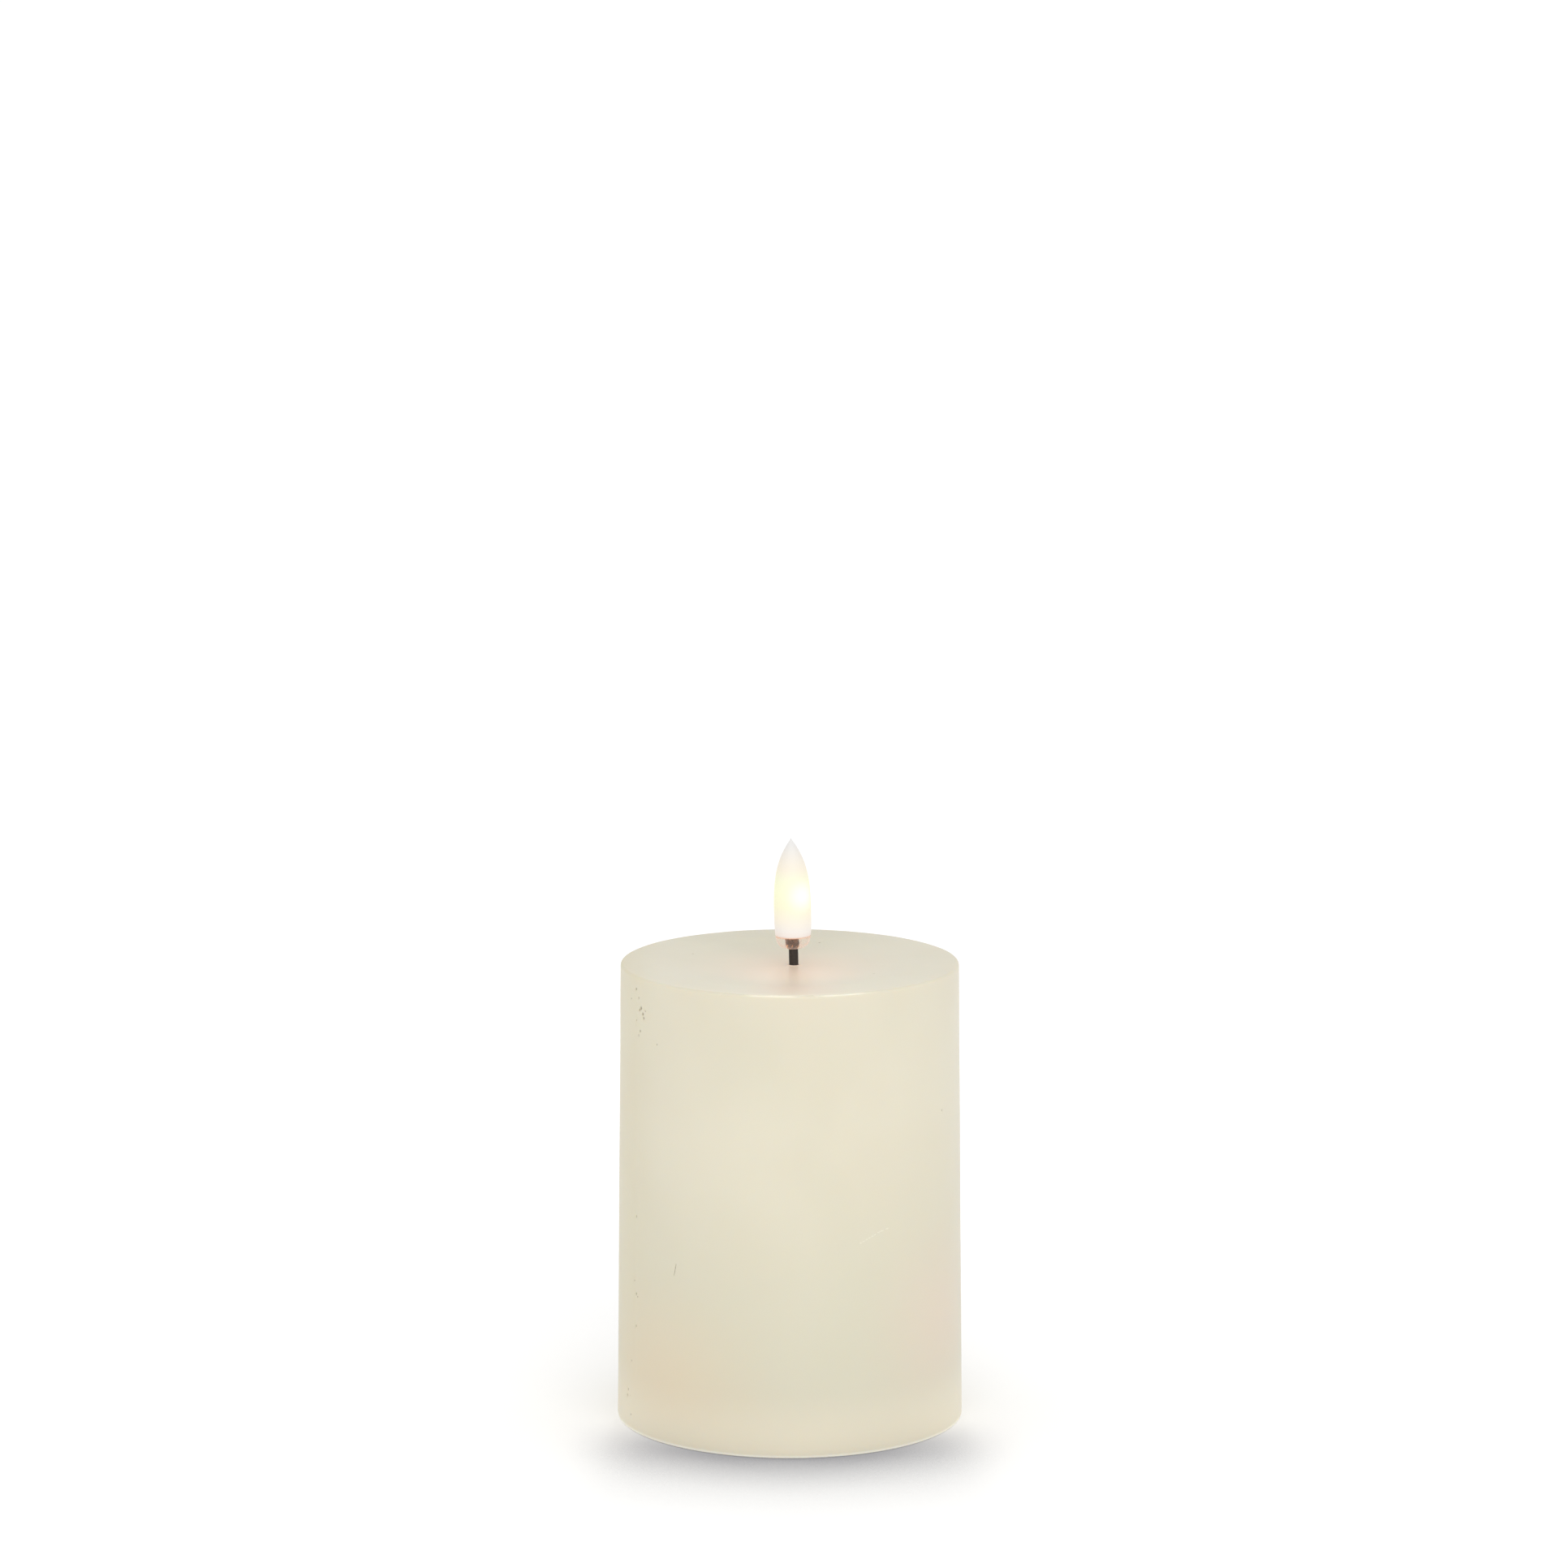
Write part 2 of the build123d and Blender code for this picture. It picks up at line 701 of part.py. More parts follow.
# controller chip: an eight-legged package
chip_x, chip_y = 2.0, board_y - 3.1
chip_width, chip_length, chip_height = 3.9, 4.9, 1.4
chip_lift = 0.1
chip_edge = 0.3
chip_dot_radius = 0.35
chip_dot_depth = 0.15
chip_leg_reach = 1.05
chip_leg_pitch = 1.27
chip_leg_width = 0.4
chip_leg_metal = 0.2
chip_leg_height = 0.7
chip_knee = 0.35

with BuildPart() as controller_chip:
    with BuildSketch(Plane.XY.offset(board_top + chip_lift)):
        with Locations((chip_x, chip_y)):
            Rectangle(chip_width, chip_length)
    extrude(amount=chip_height)
    chamfer(controller_chip.edges().group_by(Axis.Z)[-1], chip_edge)
    with BuildSketch(Plane.XY.offset(board_top + chip_lift + chip_height)):
        with Locations((chip_x - chip_width / 2 + 0.75, chip_y + chip_length / 2 - 0.85)):
            Circle(chip_dot_radius)
    extrude(amount=-chip_dot_depth, mode=Mode.SUBTRACT)
    for side in (-1, 1):
        inner_x = chip_x + side * (chip_width / 2 - chip_leg_metal)
        knee_x = chip_x + side * (chip_width / 2 + chip_knee)
        shin_x = knee_x + side * chip_leg_metal
        toe_x = chip_x + side * (chip_width / 2 + chip_leg_reach)
        for i in range(4):
            leg_y = chip_y + (i - 1.5) * chip_leg_pitch
            with BuildSketch(Plane.XZ.offset(-leg_y - chip_leg_width / 2)):
                with BuildLine():
                    Polyline(
                        (inner_x, board_top + chip_leg_height),
                        (shin_x, board_top + chip_leg_height),
                        (shin_x, board_top + chip_leg_metal),
                        (toe_x, board_top + chip_leg_metal),
                        (toe_x, board_top),
                        (knee_x, board_top),
                        (knee_x, board_top + chip_leg_height - chip_leg_metal),
                        (inner_x, board_top + chip_leg_height - chip_leg_metal),
                        close=True,
                    )
                make_face()
            extrude(amount=chip_leg_width)
keep(controller_chip, "controller_chip")

# timing crystal
crystal_place = (7.3, board_y - 3.8)
crystal_base_height = 0.55
crystal_lid_height = 0.25
crystal_base_size = (3.2, 2.5)
crystal_lid_size = (2.7, 2.0)

with BuildPart() as timing_crystal:
    with BuildSketch(Plane.XY.offset(board_top)):
        with Locations(crystal_place):
            RectangleRounded(*crystal_base_size, 0.25)
    extrude(amount=crystal_base_height)
    with BuildSketch(Plane.XY.offset(board_top + crystal_base_height)):
        with Locations(crystal_place):
            RectangleRounded(*crystal_lid_size, 0.3)
    extrude(amount=crystal_lid_height)
    fillet(timing_crystal.edges().group_by(Axis.Z)[-1], 0.1)
keep(timing_crystal, "timing_crystal")

# smoothing capacitor
capacitor_radius = 2.5
capacitor_height = 7.0
capacitor_groove_z = 1.1
capacitor_groove = 0.3
capacitor_round = 0.4
vent_length = 2.4
vent_width = 0.25
vent_depth = 0.15
capacitor_place = (-5.6, board_y - 2.9)

with BuildPart() as smoothing_capacitor:
    with BuildSketch(Plane.XZ) as can_profile:
        with BuildLine():
            Polyline(
                (0, board_top),
                (capacitor_radius, board_top),
                (capacitor_radius, board_top + capacitor_groove_z - capacitor_groove),
                (capacitor_radius - capacitor_groove, board_top + capacitor_groove_z),
                (capacitor_radius, board_top + capacitor_groove_z + capacitor_groove),
                (capacitor_radius, board_top + capacitor_height),
                (0, board_top + capacitor_height),
                close=True,
            )
        make_face()
        can_rim = (capacitor_radius, board_top + capacitor_height)
        fillet(can_profile.vertices().sort_by_distance(can_rim)[0], capacitor_round)
    revolve(axis=Axis.Z)
    # the vent scored in its top
    with BuildSketch(Plane.XY.offset(board_top + capacitor_height)):
        Rectangle(vent_length, vent_width)
        Rectangle(vent_width, vent_length)
    extrude(amount=-vent_depth, mode=Mode.SUBTRACT)
smoothing_capacitor.part = smoothing_capacitor.part.moved(Location((*capacitor_place, 0)))
keep(smoothing_capacitor, "smoothing_capacitor")

# three chip resistors along the board's back edge
resistor_y = board_back - 2.0
resistor_places = [(-2.6, resistor_y), (1.2, resistor_y), (4.9, resistor_y)]
resistor_length, resistor_width, resistor_height = 2.0, 1.25, 0.5
resistor_body_length = 1.3
resistor_step = 0.06

with BuildPart() as chip_resistors:
    with BuildSketch(Plane.XY.offset(board_top)):
        with Locations(*resistor_places):
            Rectangle(resistor_length, resistor_width)
    extrude(amount=resistor_height)
    with BuildSketch(Plane.XY.offset(board_top + resistor_height)):
        with Locations(*resistor_places):
            Rectangle(resistor_body_length, resistor_width)
    extrude(amount=-resistor_step, mode=Mode.SUBTRACT)
keep(chip_resistors, "chip_resistors")

# ---------------------------------------------------------------- slide switch, hanging under the board

shell_floor = plate_top + switch_lift
switch_base_thickness = 0.8
switch_base_z = board_bottom - switch_base_thickness
carriage_z = shell_floor + switch_metal + slip
carriage_x = -switch_step  # on
stem_tip = plate_bottom + slip
pin_rise = 0.8  # above the board
pin_head = 0.2
pin_point = 0.12
switch_corner = 0.6
carriage_edge = 0.3
stem_groove = 0.2
stem_groove_pitch = 0.5

with BuildPart() as switch_shell:
    with BuildSketch(Plane.XY.offset(shell_floor)):
        with Locations((0, switch_y)):
            RectangleRounded(switch_length, switch_width, switch_corner)
    extrude(amount=board_bottom - shell_floor)
    with BuildSketch(Plane.XY.offset(shell_floor + switch_metal)):
        with Locations((0, switch_y)):
            Rectangle(switch_length - 2 * switch_metal, switch_width - 2 * switch_metal)
    extrude(amount=board_bottom - shell_floor, mode=Mode.SUBTRACT)
    with BuildSketch(Plane.XY.offset(shell_floor)):
        with Locations((0, switch_y)):
            Rectangle(stem_slot_length, stem_width + 2 * slip)
    extrude(amount=switch_metal, mode=Mode.SUBTRACT)
keep(switch_shell, "switch_shell")

with BuildPart() as switch_base:
    with BuildSketch(Plane.XY.offset(switch_base_z)):
        with Locations((0, switch_y)):
            Rectangle(switch_length - 2 * switch_metal, switch_width - 2 * switch_metal)
        with Locations(*pin_places):
            Circle(pin_radius, mode=Mode.SUBTRACT)
    extrude(amount=switch_base_thickness)
keep(switch_base, "switch_base")

with BuildPart() as switch_terminals:
    with BuildSketch(Plane.XY.offset(switch_base_z)):
        with Locations(*pin_places):
            Circle(pin_radius)
    extrude(amount=board_top + pin_rise - switch_base_z)
    chamfer(switch_terminals.edges().group_by(Axis.Z)[-1], pin_point)
    with BuildSketch(Plane.XY.offset(switch_base_z)):
        with Locations(*pin_places):
            Circle(2 * pin_radius)
    extrude(amount=-pin_head)
keep(switch_terminals, "switch_terminals")

with BuildPart() as switch_slider:
    with BuildSketch(Plane.XY.offset(carriage_z)):
        with Locations((carriage_x, switch_y)):
            Rectangle(carriage_length, switch_width - 2 * switch_metal - 2 * slip)
    extrude(amount=carriage_height)
    chamfer(switch_slider.edges().filter_by(Axis.Z), carriage_edge)
    with BuildSketch(Plane.XY.offset(carriage_z)):
        with Locations((carriage_x, switch_y)):
            Rectangle(stem_length, stem_width)
    extrude(amount=stem_tip - carriage_z)
    # grip grooves across the tip
    with BuildSketch(Plane.XZ.offset(-switch_y - stem_width)):
        with Locations(*[(carriage_x + i * stem_groove_pitch, stem_tip) for i in (-1, 0, 1)]):
            RegularPolygon(stem_groove, 4, rotation=45)
    extrude(amount=2 * stem_width, mode=Mode.SUBTRACT)
keep(switch_slider, "switch_slider")

# ---------------------------------------------------------------- wires in the base

lead_y = board_back - 1.7
battery_pads = {1: 8.3, -1: 11.0}
led_pads = {1: -6.5, -1: -9.2}
tab_lead_x = bay_length / 2 - plate_metal - wire_radius
over_bay = roof_top + 3.6
hole_x = 0.7


def battery_lead(name, side):
    """From a contact tab over the bay's roof and down to the board."""
    pad_x = battery_pads[side]
    knee = (tab_lead_x * 0.72, side * cell_y * 0.4 - (1 - side) * 5.5)
    level = over_bay if side > 0 else over_bay - 1.1
    keep(
        wire_along(
            [
                (tab_lead_x, side * cell_y, roof_top + 0.4),
                (tab_lead_x, side * cell_y, level),
                (*knee, level),
                (pad_x, lead_y + 1.9, level - 0.6),
                (pad_x, lead_y, level - 3.4),
                (pad_x, lead_y, board_top),
            ],
            wire_radius,
        ),
        name,
    )


battery_lead("battery_lead_positive", 1)
battery_lead("battery_lead_negative", -1)


def led_lead(name, side):
    """From the board, out through the cup and up the hollow to a joint under the wick."""
    pad_x = led_pads[side]
    keep(
        wire_along(
            [
                (pad_x, lead_y, board_top),
                (pad_x, lead_y, over_bay - 3.0),
                (side * hole_x, wire_hole_y, over_bay - 0.8),
                (side * hole_x, wire_hole_y, cup_height + 8.0),
                (wick_offset + side * 1.6, wire_hole_y * 0.3 + side * 1.2, (cup_height + joint_z) / 2),
                (wick_offset, side * joint_y, joint_z - 10.0),
                (wick_offset, side * joint_y, joint_z),
            ],
            wire_radius,
        ),
        name,
    )


led_lead("led_lead_positive", 1)
led_lead("led_lead_negative", -1)

# ---------------------------------------------------------------- wick

neck_start = neck_height - 0.1

with BuildPart() as wick_socket:
    with BuildSketch(Plane.XZ):
        with BuildLine():
            Polyline(
                (wick_radius, socket_bottom),
                (wick_radius, ceiling_z + socket_spigot),
                (socket_spigot_radius - socket_edge, ceiling_z + socket_spigot),
                (socket_spigot_radius, ceiling_z + socket_spigot - socket_edge),
                (socket_spigot_radius, ceiling_z),
                (socket_flange_radius, ceiling_z),
                (socket_flange_radius, ceiling_z - socket_flange + socket_edge),
                (socket_flange_radius - socket_edge, ceiling_z - socket_flange),
                (socket_spigot_radius, ceiling_z - socket_flange),
                (socket_spigot_radius, socket_bottom),
                close=True,
            )
        make_face()
    revolve(axis=Axis.Z)
wick_socket.part = wick_socket.part.moved(Location((wick_offset, 0, 0)))
keep(wick_socket, "wick_socket")

wick_points = [(wick_offset, 0, wick_bottom), (wick_offset, 0, bend_z), on_bulb(0, 0, neck_start)]

with BuildPart() as wick_tube:
    with BuildLine():
        wick_route = FilletPolyline(*wick_points, radius=wick_bend_radius)
    with BuildSketch(Plane.XY.offset(wick_bottom)):
        with Locations((wick_offset, 0)):
            Circle(wick_radius)
            Circle(wick_bore, mode=Mode.SUBTRACT)
    sweep(path=wick_route)
keep(wick_tube, "wick_tube")

led_base = collar_top
led_top = led_base + led_height
sleeve_top = bulb_base - 0.3

with BuildPart() as led_legs:
    for side in (-1, 1):
        leg_points = [
            (wick_offset, side * joint_y, joint_z + 0.3),
            (wick_offset, side * joint_y, wick_bottom - leg_splay),
            (wick_offset, side * leg_spacing / 2, wick_bottom - 0.15 * leg_splay),
            (wick_offset, side * leg_spacing / 2, bend_z),
            on_bulb(0, side * leg_spacing / 2, sleeve_top),
            on_bulb(0, side * led_pitch / 2, led_base - 0.35),
            on_bulb(0, side * led_pitch / 2, led_base),
        ]
        add(wire_along(leg_points, leg_radius).part)
keep(led_legs, "led_legs")

with BuildPart() as heat_shrinks:
    for side in (-1, 1):
        with BuildSketch(Plane.XZ.offset(-side * joint_y)):
            with BuildLine():
                outer = wire_radius + sleeve_wall
                low, high, mid = joint_top - joint_length, joint_top, joint_z + 0.1
                Polyline(
                    (wick_offset + wire_radius, low),
                    (wick_offset + outer, low),
                    (wick_offset + outer, mid),
                    (wick_offset + leg_radius + sleeve_wall, mid + sleeve_step),
                    (wick_offset + leg_radius + sleeve_wall, high),
                    (wick_offset + leg_radius, high),
                    (wick_offset + leg_radius, mid + sleeve_wall),
                    (wick_offset + wire_radius, mid),
                    close=True,
                )
            make_face()
        revolve(axis=Axis((wick_offset, side * joint_y, 0), (0, 0, 1)))
keep(heat_shrinks, "heat_shrinks")

# ---------------------------------------------------------------- bulb, built round the leaning axis

bulb_section = Plane(origin=bulb_plane.origin, x_dir=bulb_plane.x_dir, z_dir=(0, -1, 0))
bulb_axis = Axis(bulb_plane.origin, bulb_plane.z_dir)
led_body_top = led_top - led_radius

with BuildPart() as lead_joint_sleeve:
    with BuildSketch(bulb_section):
        with BuildLine():
            Polyline(
                (wick_bore, neck_start),
                (joint_sleeve_radius, neck_start),
                (joint_sleeve_radius, sleeve_top - joint_sleeve_edge),
                (joint_sleeve_radius - joint_sleeve_edge, sleeve_top),
                (wick_bore, sleeve_top),
                close=True,
            )
        make_face()
    revolve(axis=bulb_axis)
keep(lead_joint_sleeve, "lead_joint_sleeve")

with BuildPart() as bulb_collar:
    with BuildSketch(bulb_section):
        with BuildLine():
            Polyline(
                (bulb_base_radius, bulb_base),
                (bulb_bore, bulb_base),
                (bulb_bore, collar_top),
                (collar_bore, collar_top),
                (joint_sleeve_radius, sleeve_top),
                (joint_sleeve_radius, neck_height),
                (neck_radius, neck_height),
            )
            ThreePointArc(
                (neck_radius, neck_height),
                ((neck_radius + bulb_base_radius) / 2 + 0.45, (neck_height + bulb_base) / 2 - 0.5),
                (bulb_base_radius, bulb_base),
            )
        make_face()
    revolve(axis=bulb_axis)
keep(bulb_collar, "bulb_collar")

with BuildPart() as led_package:
    with BuildSketch(bulb_section):
        with BuildLine():
            Polyline(
                (0, led_base),
                (led_flange_radius, led_base),
                (led_flange_radius, led_base + led_flange),
                (led_radius, led_base + led_flange),
                (led_radius, led_body_top),
            )
            arc_mid = led_radius * sqrt(0.5)
            ThreePointArc((led_radius, led_body_top), (arc_mid, led_body_top + arc_mid), (0, led_top))
            Line((0, led_top), (0, led_base))
        make_face()
    revolve(axis=bulb_axis)
    # the flat on the flange marks the cathode
    with BuildSketch(Plane(origin=on_bulb(0, 0, led_base), x_dir=bulb_plane.x_dir, z_dir=bulb_plane.z_dir)):
        with Locations((0, -led_radius - 0.05)):
            Rectangle(4 * led_radius, 1, align=(Align.CENTER, Align.MAX))
    extrude(amount=led_flange, mode=Mode.SUBTRACT)
keep(led_package, "led_package")

bulb_shoulder = bulb_widest + 7.0
bulb_pull = 3.1
tip_pull = bulb_tip - 4.1

with BuildPart() as flame_bulb:
    with BuildSketch(bulb_section):
        with BuildLine():
            Line((bulb_bore, bulb_base), (bulb_base_radius, bulb_base))
            Bezier(
                (bulb_base_radius, bulb_base),
                (bulb_radius, bulb_base + 2),
                (bulb_radius, bulb_widest - 2),
                (bulb_radius, bulb_widest),
            )
            Bezier(
                (bulb_radius, bulb_widest),
                (bulb_radius, bulb_shoulder),
                (bulb_pull, tip_pull),
                (bulb_tip_radius, bulb_tip - bulb_tip_radius / 2),
            )
            Line((bulb_tip_radius, bulb_tip - bulb_tip_radius / 2), (0, bulb_tip))
            Line((0, bulb_tip), (0, bulb_tip - bulb_tip_wall))
            Bezier(
                (0, bulb_tip - bulb_tip_wall),
                (bulb_pull - bulb_wall * 1.6, tip_pull - bulb_wall * 1.4),
                (bulb_radius - bulb_wall, bulb_shoulder - bulb_wall),
                (bulb_bore, bulb_widest),
            )
            Line((bulb_bore, bulb_widest), (bulb_bore, bulb_base))
        make_face()
    revolve(axis=bulb_axis)
keep(flame_bulb, "flame_bulb")

# ---------------------------------------------------------------- solder joints

solder_foot = 0.5
solder_shoulder = 0.2
solder_shoulder_height = 0.25
solder_lip = 0.05
solder_height = 0.7

with BuildPart() as solder_joints:
    pads = [(x, lead_y, wire_radius) for x in (*battery_pads.values(), *led_pads.values())]
    pads += [(x, y, pin_radius) for x, y in pin_places]
    for x, y, bore in pads:
        with BuildSketch(Plane.XZ.offset(-y)):
            with BuildLine():
                Polyline(
                    (x + bore, board_top),
                    (x + bore + solder_foot, board_top),
                    (x + bore + solder_shoulder, board_top + solder_shoulder_height),
                    (x + bore + solder_lip, board_top + solder_height),
                    (x + bore, board_top + solder_height),
                    close=True,
                )
            make_face()
        revolve(axis=Axis((x, y, 0), (0, 0, 1)))
keep(solder_joints, "solder_joints")
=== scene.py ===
"""The looks of a flameless LED pillar candle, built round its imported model.

Metres, +Z up, and the front is -Y.
"""

from math import atan2, cos, degrees, exp, hypot, pi, radians, sin, tan

import bmesh
import bpy
from mathutils import Matrix, Vector, noise


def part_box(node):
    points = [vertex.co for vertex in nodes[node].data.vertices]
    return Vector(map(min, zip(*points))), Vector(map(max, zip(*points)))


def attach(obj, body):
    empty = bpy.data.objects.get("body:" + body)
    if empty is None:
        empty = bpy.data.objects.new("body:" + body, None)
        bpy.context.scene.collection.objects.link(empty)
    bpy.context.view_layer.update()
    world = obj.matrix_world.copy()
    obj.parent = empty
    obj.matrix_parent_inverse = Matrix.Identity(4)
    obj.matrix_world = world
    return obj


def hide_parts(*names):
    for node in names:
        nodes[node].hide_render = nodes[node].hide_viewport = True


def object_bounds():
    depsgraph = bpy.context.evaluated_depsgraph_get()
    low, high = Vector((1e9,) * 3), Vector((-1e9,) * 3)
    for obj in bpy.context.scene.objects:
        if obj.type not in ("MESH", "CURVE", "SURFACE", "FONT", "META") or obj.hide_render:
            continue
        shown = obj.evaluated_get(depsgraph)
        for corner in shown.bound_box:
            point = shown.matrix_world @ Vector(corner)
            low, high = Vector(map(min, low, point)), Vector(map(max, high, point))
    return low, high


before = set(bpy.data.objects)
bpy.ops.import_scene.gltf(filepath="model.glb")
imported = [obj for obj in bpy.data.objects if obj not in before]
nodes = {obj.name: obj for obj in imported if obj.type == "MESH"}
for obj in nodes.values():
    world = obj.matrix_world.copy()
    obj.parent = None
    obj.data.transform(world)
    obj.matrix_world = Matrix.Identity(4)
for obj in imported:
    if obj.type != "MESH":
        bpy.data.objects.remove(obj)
cad_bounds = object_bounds()
mm = 0.001


# ---- Floor, light and camera
# The candle stands on a plain white table that runs on behind it. Soft white light comes from all round,
# with a little more from the front right and a small lamp overhead that draws a faint glint along the rim,
# which the wax's colour strengthens with a painted highlight. The table's colour carries a painted contact
# shadow round the candle's foot.


class Number:
    """One output of a material's nodes. Arithmetic on it adds Math nodes to the same material."""

    def __init__(self, tree, socket):
        self.tree = tree
        self.socket = socket

    def math(self, operation, *values):
        node = self.tree.nodes.new("ShaderNodeMath")
        node.operation = operation
        for place, value in zip(node.inputs, values):
            plug(self.tree, place, value)
        return Number(self.tree, node.outputs[0])

    def __add__(self, other):
        return self.math("ADD", self, other)

    def __radd__(self, other):
        return self.math("ADD", other, self)

    def __sub__(self, other):
        return self.math("SUBTRACT", self, other)

    def __rsub__(self, other):
        return self.math("SUBTRACT", other, self)

    def __mul__(self, other):
        return self.math("MULTIPLY", self, other)

    def __rmul__(self, other):
        return self.math("MULTIPLY", other, self)

    def __truediv__(self, other):
        return self.math("DIVIDE", self, other)

    def __pow__(self, other):
        return self.math("POWER", self, other)

    def __abs__(self):
        return self.math("ABSOLUTE", self)


def plug(tree, place, value):
    """Links a node's output into a socket, or sets the socket to a plain value."""
    if isinstance(value, Number):
        tree.links.new(value.socket, place)
    else:
        place.default_value = value


class Finish:
    """A material on the Principled shader, and the nodes that vary it over a surface."""

    def __init__(self, name, **uniform):
        self.material = bpy.data.materials.new(name)
        self.material.use_nodes = True
        self.tree = self.material.node_tree
        self.shader = self.tree.nodes["Principled BSDF"]
        for socket, value in uniform.items():
            self.set(socket.replace("_", " "), value)
        self.place = self.node("TexCoord", {}, {}, 3)
        self.x, self.y, self.z = (self.node("SeparateXYZ", {}, {0: self.place}, i) for i in range(3))

    def node(self, kind, settings, inputs, output=0):
        """Adds a node of this kind, its settings first and then its inputs. Gives one output."""
        node = self.tree.nodes.new("ShaderNode" + kind)
        for key, value in settings.items():
            if key == "stops":
                ramp = node.color_ramp.elements
                while len(ramp) < len(value):
                    ramp.new(0.5)
                for stop, (position, colour) in zip(ramp, value):
                    stop.position, stop.color = position, (*colour, 1)
            else:
                setattr(node, key, value)
        for key, value in inputs.items():
            plug(self.tree, node.inputs[key], value)
        return Number(self.tree, node.outputs[output])

    def set(self, socket, value):
        plug(self.tree, self.shader.inputs[socket], value)

    def grain(self, size, detail=3.0, roughness=0.5, stretch=None):
        """Cloudy variation of about this size in metres, from 0 to 1."""
        place = self.place
        if stretch:
            place = self.node("Mapping", {}, {0: place, 3: stretch})
        inputs = {0: place, "Scale": 1 / size, "Detail": detail, "Roughness": roughness}
        return self.node("TexNoise", {}, inputs)

    def mix(self, factor, one, other):
        """A colour that goes from one to other as the factor goes from 0 to 1."""
        one, other = (c if isinstance(c, Number) else (*c, 1) for c in (one, other))
        return self.node("Mix", {"data_type": "RGBA"}, {0: factor, 6: one, 7: other}, 2)

    def step(self, value, low, high):
        """0 below low, 1 above high, and smooth between them."""
        return self.node("MapRange", {"interpolation_type": "SMOOTHSTEP"}, {0: value, 1: low, 2: high})

    def near(self, place, radius):
        """1 at a place, fading to 0 at this distance from it."""
        gone = self.node("VectorMath", {"operation": "DISTANCE"}, {0: self.place, 1: place}, 1)
        return 1 - self.step(gone, 0.0, radius)

    def bump(self, height, depth, strength=1.0):
        inputs = {"Strength": strength, "Distance": depth, "Height": height}
        self.set("Normal", self.node("Bump", {}, inputs))

    def paint(self, *pieces):
        for piece in pieces:
            piece.data.materials.clear()
            piece.data.materials.append(self.material)


candle_middle = 50 * mm
floor_radius = 14.0
floor_drop = 0.05 * mm
floor_white = 0.95
floor_glow = 0.13
contact_shadow_reach = 50 * mm  # how far the painted contact shadow reaches from the candle's foot
contact_shadow_dark = 0.70
contact_shadow_blue = 0.03  # the painted shadow is a little cooler
contact_shadow_behind = 0.12  # how much of the painted shadow is left beside and behind the candle
contact_shadow_sides = 30 * mm, 54 * mm  # where it starts to fade, and where it is gone
contact_shadow_fade = 0.1  # its front part is gone this share of the radius in front of the axis
contact_shadow_sky = 0.53  # the share of open sky at which it is darkest
room_light = 0.83
room_seen = 1.05
front_sun = dict(strength=0.95, spread=65, elevation=27, azimuth=9)
rim_lamp = dict(power=0.20, size=0.08, place=(0.0, 0.47, 0.47))

floor_shape = bmesh.new()
bmesh.ops.create_circle(floor_shape, cap_ends=True, radius=floor_radius, segments=96)
bmesh.ops.translate(floor_shape, vec=(0, 0, -floor_drop), verts=floor_shape.verts)
floor_mesh = bpy.data.meshes.new("floor")
floor_shape.to_mesh(floor_mesh)
floor_shape.free()
floor = bpy.data.objects.new("floor", floor_mesh)
bpy.context.scene.collection.objects.link(floor)

table = Finish("white_table", Roughness=0.9, Specular_IOR_Level=0.0, Emission_Strength=floor_glow)
# painted shadow: the table is coloured darker where the candle blocks its view of the room, most of all in
# front
open_sky = table.node("AmbientOcclusion", {"samples": 8}, {"Distance": contact_shadow_reach}, 1)
in_front = 1 - table.step(table.y, cad_bounds[0].y, contact_shadow_fade * cad_bounds[0].y)
in_front = in_front * (1 - table.step(abs(table.x), *contact_shadow_sides))
contact = 1 - table.step(open_sky, contact_shadow_sky, 1.0)
contact = contact * (contact_shadow_behind + (1 - contact_shadow_behind) * in_front)
lightness = floor_white - contact_shadow_dark * contact
bluer = lightness + contact_shadow_blue * contact
table.set("Base Color", table.node("CombineColor", {}, {0: lightness, 1: lightness, 2: bluer}))
table.set("Emission Color", (1, 1, 1, 1))
table.paint(floor)

room = bpy.data.worlds.new("room")
room.use_nodes = True
room_tree = room.node_tree
room_back = room_tree.nodes["Background"]
room_ray = room_tree.nodes.new("ShaderNodeLightPath")
room_mix = room_tree.nodes.new("ShaderNodeMix")
room_mix.inputs[2].default_value = room_light
room_mix.inputs[3].default_value = room_seen
room_tree.links.new(room_ray.outputs["Is Camera Ray"], room_mix.inputs[0])
room_tree.links.new(room_mix.outputs[0], room_back.inputs["Strength"])
room_back.inputs["Color"].default_value = (1, 1, 1, 1)
bpy.context.scene.world = room

sun_light = bpy.data.lights.new("front_sun", "SUN")
sun_light.energy = front_sun["strength"]
sun_light.angle = radians(front_sun["spread"])
sun = bpy.data.objects.new("front_sun", sun_light)
sun.rotation_euler = (radians(90 - front_sun["elevation"]), 0, radians(front_sun["azimuth"]))
bpy.context.scene.collection.objects.link(sun)

lamp_light = bpy.data.lights.new("rim_lamp", "AREA")
lamp_light.energy = rim_lamp["power"]
lamp_light.shape = "DISK"
lamp_light.size = rim_lamp["size"]
lamp = bpy.data.objects.new("rim_lamp", lamp_light)
lamp.location = rim_lamp["place"]
lamp.rotation_euler = (-atan2(rim_lamp["place"][1], rim_lamp["place"][2] - candle_middle), 0, 0)
bpy.context.scene.collection.objects.link(lamp)

camera_distance = 1.301
camera_height = 13.6  # degrees above the candle's middle
camera_pitch = 9.75  # degrees below the horizon
camera_side = -1.25 * mm

